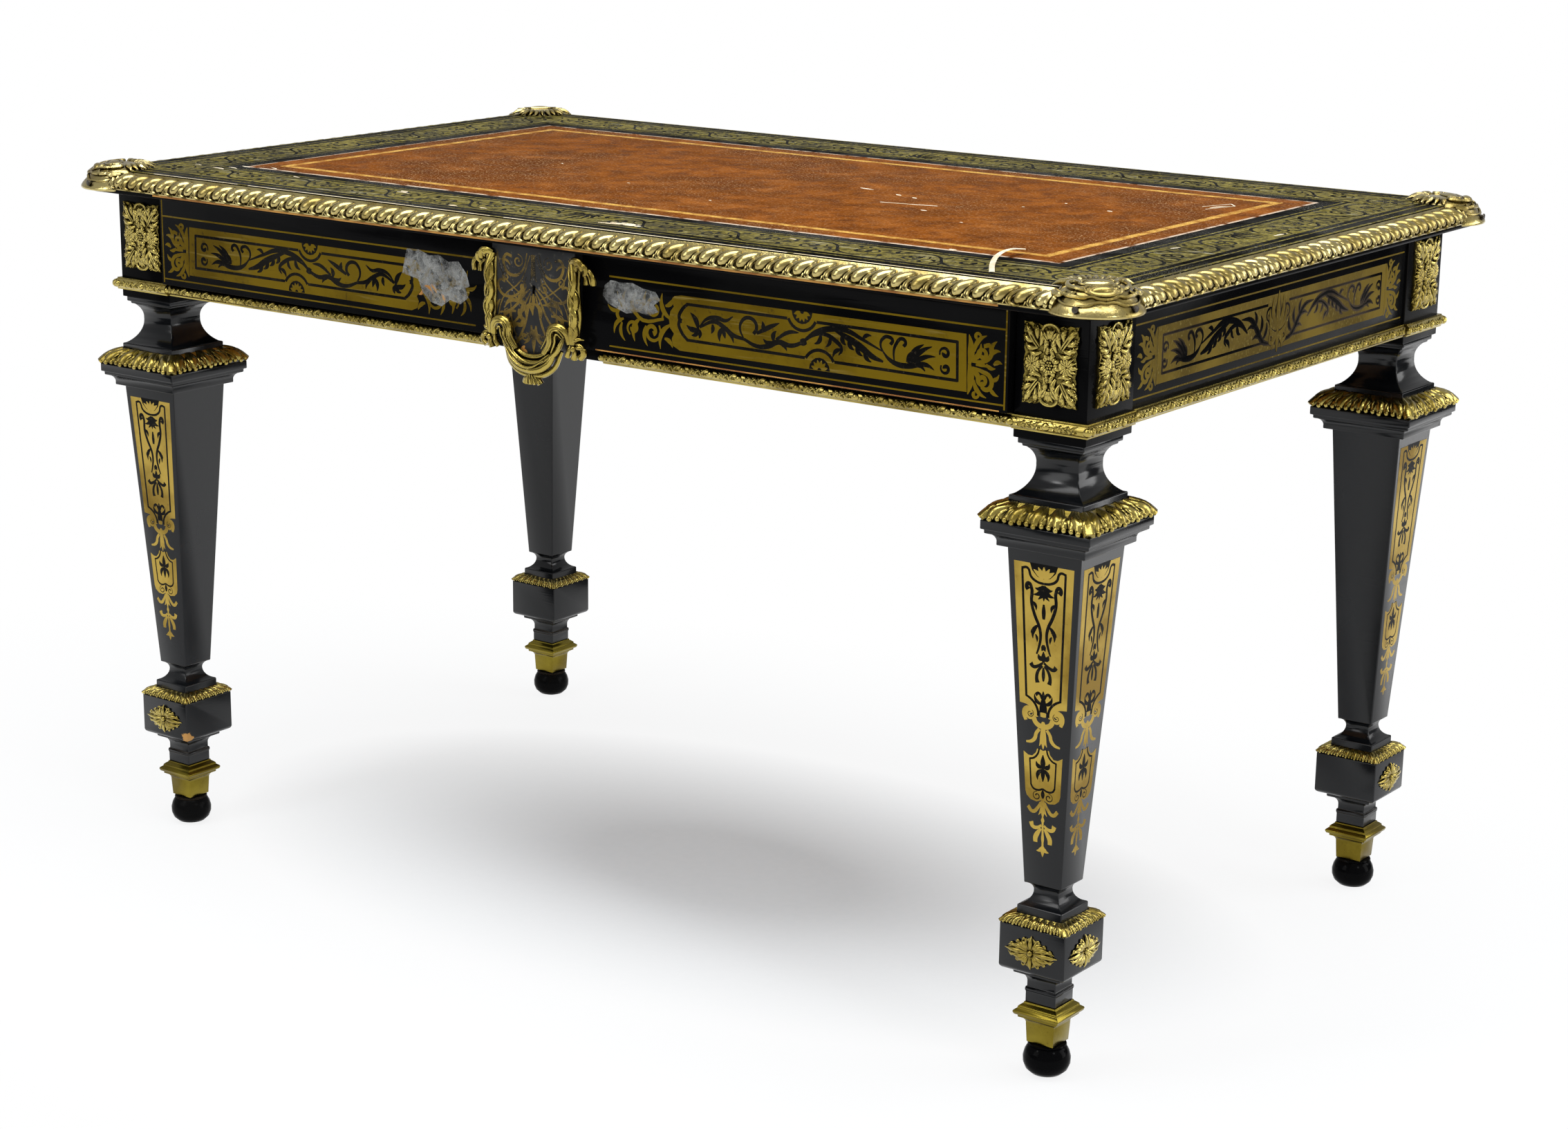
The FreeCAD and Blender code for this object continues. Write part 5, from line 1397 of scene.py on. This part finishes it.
away = add_node(tree, "ShaderNodeVectorMath", {0: where}, operation="ABSOLUTE").outputs[0]
parts = add_node(tree, "ShaderNodeSeparateXYZ", {0: away}).outputs
near_edge = {0: spread(tree, parts[0], 0.526, 0.529), 1: spread(tree, parts[1], 0.258, 0.261)}
pared = add_node(tree, "ShaderNodeMath", near_edge, operation="MAXIMUM").outputs[0]
colour = tint(tree, times(tree, pared, spread(tree, mottle, 0.36, 0.5)), colour, srgb(196, 178, 158))
paint(tree, shader, colour)
tree.links.new(spread(tree, mottle, 0.35, 0.65, 0.4, 0.58), shader["Roughness"])
bumpy(tree, shader, cells, 0.3, 0.0003)
HIDE_THICK, HIDE_MIDDLE, HIDE_PARED = 0.003, 0.7685, 0.0014
hide_size = Matrix.Diagonal((LEATHER_HALF_WIDE / 500, LEATHER_HALF_DEEP / 500, HIDE_THICK, 1.0))
bm = bmesh.new()
bmesh.ops.create_cube(bm, size=1.0, matrix=Matrix.Translation((0, 0, HIDE_MIDDLE)) @ hide_size)
upper = [edge for edge in bm.edges if all(vert.co.z > HIDE_MIDDLE for vert in edge.verts)]
bmesh.ops.bevel(bm, geom=upper, offset=HIDE_PARED, affect="EDGES", segments=3, profile=0.5, material=-1)
put("leather_hide", close_up(bm, "hide", 50.0), hide, nodes=["leather_writing_surface"])

gold_leaf, tree, shader = new_finish("gold leaf", {"Metallic": 0.3, "Specular IOR Level": 0.1})
marks = effect(tree, wear, {"Size": 60.0})
colour = tint(tree, marks["Patches"], srgb(232, 180, 66), srgb(172, 116, 34))
paint(tree, shader, tint(tree, marks["Specks"], colour, srgb(118, 62, 18)))
roughen(tree, shader, marks["Patches"], 0.34, 0.5)
TOOLING_IN = 33.0


def tooled_side(half_long):
    """One side of the tooled band: two fine lines, and between them crossed leaves over a broad one."""
    lines = [even(1, (-half_long - 4.6, 4.2), (half_long + 4.6, 4.2)),
             even(0.9, (-half_long + 3.8, -3.8), (half_long - 3.8, -3.8))]
    count = round(half_long / 4.6)
    for place in range(count):
        left = -half_long + 2 * half_long * place / count
        lines.append(leaf(1.9, (left + 0.6, -2.8), (left + 6.6, 3), 0.16))
        lines.append(leaf(1.6, (left + 5.4, -3), (left + 8.8, 1.6), 0.16))
    lines.append(even(2.3, (-half_long, 0.2), (half_long, 0.2)))
    return drawn(lines, 0.05, 0, 1)


long_tool = tooled_side(LEATHER_HALF_WIDE - TOOLING_IN)
short_tool = tooled_side(LEATHER_HALF_DEEP - TOOLING_IN)
bm = bmesh.new()
long_out, short_out = (LEATHER_HALF_DEEP - TOOLING_IN) / 1000, (LEATHER_HALF_WIDE - TOOLING_IN) / 1000
for hand in (-1, 1):
    stamp(bm, long_tool, facing_to((0.0, hand * long_out, TOP_LEVEL), (-hand, 0, 0), (0, -hand, 0))
          @ Matrix.Diagonal((1.0, -1.0, 1.0, 1.0)))
    stamp(bm, short_tool, facing_to((hand * short_out, 0.0, TOP_LEVEL), (0, hand, 0), (-hand, 0, 0))
          @ Matrix.Diagonal((1.0, -1.0, 1.0, 1.0)))
put("leather_tooling", close_up(bm, "tooling", 60.0), gold_leaf)

# Flakes: chips and rubs on the top, some through to pale filler and chalk, and one strip of the inlaid
# stringing sprung loose at the front right corner.
chalky, tree, shader = new_finish("chalky flakes", {"Specular IOR Level": 0.1, "Roughness": 0.7})
marks = effect(tree, wear, {"Size": 50.0})
paint(tree, shader, tint(tree, marks["Patches"], srgb(232, 222, 200), srgb(206, 190, 160)))
flakes = [
    even(1.4, (175, -35), (206, -29), (238, -22)), leaf(2.2, (97, 42), (117, 38)),
    leaf(2.4, (156, 24), (165, 19)), leaf(2.2, (182, 16), (190, 11)),
    leaf(2.2, (240, -56), (249, -58)), leaf(3, (406, -256), (416, -260)),
    leaf(2.4, (391, 64), (398, 61)), leaf(1.6, (329, 84), (332, 80)),
    leaf(1.6, (318, -102), (322, -104)), leaf(1.6, (307, 33), (311, 31)),
    even(0.9, (451, 155), (465, 192)), even(0.9, (465, 192), (476, 180)),
    even(0.9, (463, 140), (476, 180)), leaf(2.4, (463, 150), (472, 178), 0.1),
    leaf(2.6, (-262, -297), (-246, -300)), leaf(2.6, (-153, -342), (-139, -345)),
    leaf(2.2, (-116, -336), (-104, -338)), leaf(4.4, (52, -330), (98, -335)),
    leaf(3, (40, -338), (74, -334)), leaf(2.2, (62, -325), (92, -328)),
    leaf(1.8, (-430, -288), (-418, -291)), leaf(1.8, (-536, -262), (-520, -266)),
    leaf(1.6, (250, -300), (262, -303)), leaf(1.6, (566, -120), (570, -104)),
    leaf(1.8, (604, 20), (607, 44)), leaf(1.4, (30, -140), (35, -143)),
    even(1, (-560, -373), (-430, -373)), even(1.1, (-414, -373), (-70, -373)),
    even(1.2, (-52, -373), (300, -373)), even(1.2, (308, -373), (598, -373)),
    leaf(1.4, (-120, -90), (-115, -92)), leaf(1.2, (-280, -10), (-276, -13)),
    leaf(2.4, (-552, -292), (-530, -297), 0.1), leaf(1.6, (-540, -279), (-524, -283), 0.1),
    leaf(1.4, (-588, -285), (-574, -288), 0.1), leaf(1.6, (-500, -252), (-488, -257), 0.1),
    leaf(1.8, (-262, -305), (-240, -308), 0.1),
]
on_brass = Matrix.Translation((0.0, 0.0, BRASS_LEVEL))
set_in("top_flakes", drawn(flakes, 0.04, 0), on_brass, 30.0, chalky)
sprung = even(2.6, (511, -348, 0.4), (493, -318, 3.6), (479, -284, 6.4), (474, -256, 6.6),
              (474, -234, 4))
on_top = Matrix.Translation((0.0, 0.0, TOP_LEVEL))
set_in("top_loose_stringing", drawn([sprung], 0.25, 1), on_top, 50.0, chalky)

# Gadrooned edge: four lengths of cast and gilt edging, slanting bulbs with a curled rim round each, small
# leaves below and beads above, pinned through into the edge of the top.
EDGE_LEVEL, EDGE_OUT, EDGE_RISE, EDGE_REACH = 755.8, 3.4, 9.0, 14.4
EDGE_SECTION = ((751.6, 0), (751.6, 21), (752.8, 21.6), (754.2, 19.6), (755, 17.4), (758.4, 16.2),
                (761.4, 13), (762.8, 9.4), (764.2, 5.4), (766, 2), (768.6, 0.8), (769, 0))


def on_edge(along, turn, out=0.0):
    """A point on the round of the edging: along it, and round it in degrees up from level."""
    angle = math.radians(turn)
    up = EDGE_LEVEL + (EDGE_RISE + out) * math.sin(angle)
    return along, up, EDGE_OUT + (EDGE_REACH + out) * math.cos(angle)


FATTER, GADROON_PITCH = 1.2, 22.0
bulb = [(*on_edge(along / FATTER, turn), half) for along, turn, half in (
    (8.4, 100, 2.2), (7.4, 82, 3.8), (5.4, 64, 4.9), (2.6, 46, 5.5), (-0.4, 28, 5.8), (-2.8, 12, 5.4),
    (-4.2, -2, 4), (-4.6, -10, 1.8))]
rim = [(*on_edge(along, turn, out), half) for along, turn, out, half in (
    (2.4, 97, 0.4, 0.7), (1, 82, 0.9, 1), (-1.6, 64, 2, 1.3), (-5.4, 46, 3, 1.4),
    (-9, 28, 3.6, 1.5), (-11, 10, 3.8, 1.5), (-11, -4, 3.8, 1.5), (-8.6, -13, 3.6, 1.5),
    (-4.2, -16, 3.4, 1.4), (-0.4, -12, 3.4, 1.1))]
second_rim = [(*on_edge(along, turn, out), half) for along, turn, out, half in (
    (-0.8, 96, 0.2, 0.6), (-2.4, 80, 0.8, 0.8), (-5.4, 62, 1.8, 1), (-9.2, 44, 2.6, 1.1),
    (-12.4, 26, 3, 1.2), (-14.2, 8, 3.2, 1.2), (-14.2, -6, 3.2, 1.1), (-12, -15, 3.2, 0.9))]
tips = [leaf(1.3, on_edge(-6, 56, 2.4), on_edge(-3, 88, 1.2), 0.1),
        leaf(1.4, on_edge(5.4, 6, 2.6), on_edge(2.8, -15, 3.6), 0.1)]
bm = bmesh.new()
bm.from_mesh(drawn([bulb], 1.0, 3, 3))
bmesh.ops.scale(bm, vec=(FATTER, 1.0, 1.0), verts=bm.verts)
bm.from_mesh(drawn([rim, second_rim] + tips, 1.0, 1, 2))
bead(bm, *on_edge(0.6, 88.0, 0.6), 1.1, round_about=6)
gadroon = close_up(bm, "gadroon", 70.0)


def gadroon_run(half_long, count, lean):
    """A length of edging, its bulbs leaning to the right at the top where lean is 1."""
    bm = moulded(EDGE_SECTION, -half_long, half_long)
    pitch = 2 * half_long / count
    for place in range(count):
        middle = -half_long + pitch * (place + 0.5)
        stamp(bm, gadroon, Matrix.Translation((middle / 1000, 0.0, 0.0))
              @ Matrix.Diagonal((lean * pitch / GADROON_PITCH, 1.0, 1.0, 1.0)))
    return close_up(bm, "gadroon run", 50.0)


# A paler copy of the gilding for the edging and the clasps: painted highlight for the light their bulbs and
# bosses catch
lit_edge_gilt = gilding("edge gilding", srgb(206, 189, 124), srgb(166, 146, 78), (0.18, 0.32))
EDGE_FRONT, EDGE_SIDE = 0.375, 0.642
LONG_EDGE, SHORT_EDGE = 604.4, 337.4
for name, half_long, count, lean, at, right in (
    ("front", LONG_EDGE, 55, 1.0, (0.0, -EDGE_FRONT, 0.0), (1, 0, 0)),
    ("back", LONG_EDGE, 55, 1.0, (0.0, EDGE_FRONT, 0.0), (-1, 0, 0)),
    ("right", SHORT_EDGE, 31, -1.0, (EDGE_SIDE, 0.0, 0.0), (0, 1, 0)),
    ("left", SHORT_EDGE, 31, -1.0, (-EDGE_SIDE, 0.0, 0.0), (0, -1, 0)),
):
    edging = gadroon_run(half_long, count, lean)
    set_in("gadroon_edge_%s_cast" % name, edging, facing_to(at, right, (0, 0, 1)), 50.0, lit_edge_gilt,
           nodes=["gadroon_edge_" + name])

# Corner clasps: heavy cast caps over the corners of the top, a plain hollow band below and above it a
# scrolled plate with an oval boss, leaves lapping back over the border and wraps over the edging's ends.
CLASP_OUTLINE = (
    (0, 776.2), (10, 776), (18, 775.2), (25, 773.6), (30, 771.4), (33.6, 768.6), (35.6, 764.4),
    (38.2, 760), (41, 757.2), (43.2, 754.6), (44.4, 752.6), (45, 751.4), (45, 750.2), (44.2, 749.2),
    (41, 748.6), (34, 748.5), (0, 748.5))
CLASP_ACROSS, CLASP_ALONG = 0.627, 0.360
WRAP_ACROSS, WRAP_ALONG = 0.6120, 0.3450


def boss(bm, out, level, half_along, half_out, half_up, lean):
    """An oval boss tipped outwards by some degrees."""
    place = (Matrix.Translation((0.0, -out / 1000, level / 1000))
             @ Matrix.Rotation(math.radians(lean), 4, "X")
             @ Matrix.Diagonal((half_along, half_out, half_up, 1.0)))
    bmesh.ops.create_uvsphere(bm, u_segments=24, v_segments=12, radius=0.001, matrix=place)


def oval(half, out, level, half_along, half_out, slope):
    """A rim round a boss, falling outwards by the slope."""
    line = []
    for across, back in arc((0.0, 0.0), 1.0, 0.0, 360.0, 13):
        reach = half_out * back
        line.append((half_along * across, -out + reach, level + reach * slope, half))
    return line


half_clasp = [
    swell(1.8, (0, -36.4, 765.4), (6, -35.4, 766), (12, -32, 767.4), (18, -31, 766.8),
          (25, -26.6, 767.2), (31, -19.6, 767.6), (35, -9.6, 768.2), (36, 2, 769), ends=(0.9, 0.7)),
    swell(2.4, (14, -27, 771), (21, -21.6, 772.6), (26, -13.6, 773.4), (27, -4.6, 774.4),
          (23, 2, 775.2), (18, -0.6, 775.6), (19, -5.6, 775.4), ends=(0.6, 1)),
    swell(1.5, (3, -33.4, 767.8), (11, -31, 769), (16.4, -25.6, 771.8), (15, -19.6, 774),
          (10.6, -18.6, 774.6), (10.8, -21.8, 773.8), ends=(0.5, 0.9)),
    swell(2.6, (30.6, -13.6, 770.4), (35.4, -13, 767.4), (38.4, -7, 766.6), (38.4, 1, 767.6),
          ends=(0.5, 0.8)),
    swell(2.2, (24, -22.6, 770.6), (28.6, -22.6, 768.2), (32.4, -17.4, 768.4), ends=(0.5, 0.6)),
    leaf(2.6, (22, 6, 774.6), (37, 12, 771.6), 0.1, 1.6),
    swell(1.6, (36.4, -2, 765), (35, -15.6, 760.4), (27.6, -27.6, 759.4), (17.2, -35, 760),
          (8, -36, 763.2), (0, -36.8, 762.2), ends=(0.7, 1)),
]
clasp_lines = both(half_clasp) + [
    oval(1.5, 8, 775.8, 17.4, 9, 0.1),
    oval(1.3, 26.2, 771.4, 14, 7.4, 0.45),
]
for turn in range(20, 161, 14):
    angle = math.radians(turn)
    reach = 39.0 if (turn // 14) % 2 else 35.0
    clasp_lines.append(leaf(3, (18 * math.cos(angle), 18 * math.sin(angle), 774.6),
                            (reach * math.cos(angle), reach * math.sin(angle), 771.6), 0, 1.6))
bm = bmesh.new()
bm.from_mesh(turned(CLASP_OUTLINE, 48))
bm.from_mesh(drawn(clasp_lines, 1.0, 1, 5))
boss(bm, 8.0, 775.0, 14.6, 6.8, 3.4, 8.0)
boss(bm, 26.0, 771.0, 11.4, 5.0, 4.6, 26.0)
clasp = close_up(bm, "clasp", 50.0)
wrap_lines = []
for along, fat, slant in ((-9, 3.6, 5), (-15.5, 3, 6), (-21, 2.2, 6.5)):
    wrap_lines.append([(*on_edge(along + slant * turn / 90, turn, 2.0), fat * width) for turn, width in
                       ((96, 0.5), (76, 0.9), (52, 1), (28, 1), (6, 0.9), (-12, 0.5))])
wrap = drawn(wrap_lines, 1.0, 1, 3)
for corner, (side, end) in CORNERS.items():
    bm = bmesh.new()
    heading = math.atan2(end, side) + math.pi / 2
    corner_at = Matrix.Translation((side * CLASP_ACROSS, end * CLASP_ALONG, 0.0))
    stamp(bm, clasp, corner_at @ Matrix.Rotation(heading, 4, "Z"))
    hand = -side * end
    stamp(bm, wrap, facing_to((side * WRAP_ACROSS, end * EDGE_FRONT, 0.0), (-end, 0, 0), (0, 0, 1))
          @ Matrix.Diagonal((hand, 1.0, 1.0, 1.0)))
    stamp(bm, wrap, facing_to((side * EDGE_SIDE, end * WRAP_ALONG, 0.0), (0, side, 0), (0, 0, 1))
          @ Matrix.Diagonal((-hand, 1.0, 1.0, 1.0)))
    put("corner_clasp_%s_cast" % corner, close_up(bm, "clasp", 50.0), lit_edge_gilt,
        nodes=["corner_clasp_" + corner])
eased("clasp_screws", iron, ease=0.0002)


# Studio: a plain white floor that turns pure white away from the table, a broad soft lamp overhead, a
# standing one at the right, a weak one at the front and two small ones for sparkle on the gilding. Two
# grey cards stand outside the picture, seen only in reflections.
floor_mesh = bpy.data.meshes.new("floor")
bm = bmesh.new()
bmesh.ops.create_grid(bm, x_segments=1, y_segments=1, size=30.0)
bm.to_mesh(floor_mesh)
bm.free()
floor = bpy.data.objects.new("floor", floor_mesh)
bpy.context.scene.collection.objects.link(floor)
paper, tree, shader = new_finish("white paper", {"Roughness": 0.9, "Specular IOR Level": 0.0})
where = on_surface(tree)
pool = {"Vector": where, "Location": (0.0, 0.14, 0.0), "Scale": (1.18, 2.0, 1.0)}
from_pool = add_node(tree, "ShaderNodeMapping", pool).outputs[0]
away = add_node(tree, "ShaderNodeVectorMath", {0: from_pool}, operation="LENGTH").outputs["Value"]
near_white, far_white = spread(tree, away, 0.2, 0.8, 0.0, 0.86), spread(tree, away, 0.9, 1.8, 0.0, 0.14)
clear = add_node(tree, "ShaderNodeMath", {0: near_white, 1: far_white}).outputs[0]
fibre = noise(tree, where, 90.0, 2.0)
paint(tree, shader, tint(tree, fibre, srgb(240, 246, 251), srgb(245, 250, 255)))
path = add_node(tree, "ShaderNodeLightPath").outputs
seen = path["Is Camera Ray"]
for ray in ("Is Glossy Ray", "Is Transmission Ray"):
    seen = add_node(tree, "ShaderNodeMath", {0: seen, 1: path[ray]}, operation="MAXIMUM").outputs[0]
far = times(tree, clear, seen)
white = add_node(tree, "ShaderNodeEmission", {"Color": (1.0, 1.0, 1.0, 1.0), "Strength": 1.0})
blend = add_node(tree, "ShaderNodeMixShader", {0: far, 1: tree.nodes["Principled BSDF"].outputs[0]})
tree.links.new(white.outputs[0], blend.inputs[2])
tree.links.new(blend.outputs[0], tree.nodes["Material Output"].inputs["Surface"])
floor_mesh.materials.append(paper)

studio = bpy.data.worlds.new("studio")
studio.use_nodes = True
bpy.context.scene.world = studio
background = studio.node_tree.nodes["Background"].inputs
background["Color"].default_value = (1.0, 1.0, 1.0, 1.0)
background["Strength"].default_value = 0.42


def soft_lamp(name, stands, faces, wide, high, watts):
    """A softbox standing at one point and turned to another."""
    light = bpy.data.lights.new(name, "AREA")
    light.shape = "RECTANGLE"
    light.size = wide
    light.size_y = high
    light.energy = watts
    lamp = bpy.data.objects.new(name, light)
    bpy.context.scene.collection.objects.link(lamp)
    lamp.location = stands
    lamp.rotation_euler = (Vector(faces) - Vector(stands)).to_track_quat("-Z", "Y").to_euler()
    lamp.visible_camera = False


def grey_card(name, middle, right, wide, high, shade):
    """A card standing outside the picture, seen only in what the polished black reflects."""
    mesh = bpy.data.meshes.new(name)
    bm = bmesh.new()
    bmesh.ops.create_grid(bm, x_segments=1, y_segments=1, size=0.5, matrix=facing_to(middle, right, (0, 0, 1))
                          @ Matrix.Diagonal((wide, high, 1.0, 1.0)))
    bm.to_mesh(mesh)
    bm.free()
    grey = {"Base Color": srgb(shade, shade, shade), "Roughness": 0.9, "Specular IOR Level": 0.0}
    mesh.materials.append(new_finish(name, grey)[0])
    card = bpy.data.objects.new(name, mesh)
    bpy.context.scene.collection.objects.link(card)
    card.visible_camera = False
    card.visible_diffuse = False
    card.visible_shadow = False


grey_card("card_right", (2.0, 2.9, 0.45), (0, 1, 0), 3.4, 0.9, 30)
grey_card("card_front", (-2.0, -2.7, 0.4), (1, 0, 0), 3.4, 0.8, 60)
soft_lamp("overhead", (0.25, -0.35, 2.7), (0.0, 0.0, 0.5), 2.6, 1.8, 62.0)
soft_lamp("standing", (2.5, 1.5, 1.0), (0.4, 0.0, 0.45), 1.8, 1.8, 34.0)
soft_lamp("front", (-1.2, -3.2, 1.7), (0.0, -0.3, 0.5), 1.6, 1.6, 16.0)
soft_lamp("spark_left", (-1.0, -2.6, 2.6), (0.0, 0.0, 0.7), 0.5, 0.5, 9.0)
soft_lamp("spark_right", (2.9, -0.9, 2.2), (0.3, 0.0, 0.7), 0.5, 0.5, 8.0)

# Camera: where the photograph was taken from, at standing height off the table's front right corner.
lens = bpy.data.cameras.new("camera")
lens.sensor_width = 36.0
lens.lens = 71.09
lens.shift_x = 0.0368
lens.shift_y = 0.0250
camera = bpy.data.objects.new("camera", lens)
bpy.context.scene.collection.objects.link(camera)
camera.location = (1.99398, -2.71503, 1.22126)
around, above, tilt = math.radians(36.950), math.radians(15.357), math.radians(0.4954)
back = Vector((math.sin(around) * math.cos(above), -math.cos(around) * math.cos(above), math.sin(above)))
aim = (-back).to_track_quat("-Z", "Y") @ Matrix.Rotation(tilt, 3, "Z").to_quaternion()
camera.rotation_euler = aim.to_euler()
bpy.context.scene.camera = camera
bpy.context.scene.view_settings.view_transform = "Standard"
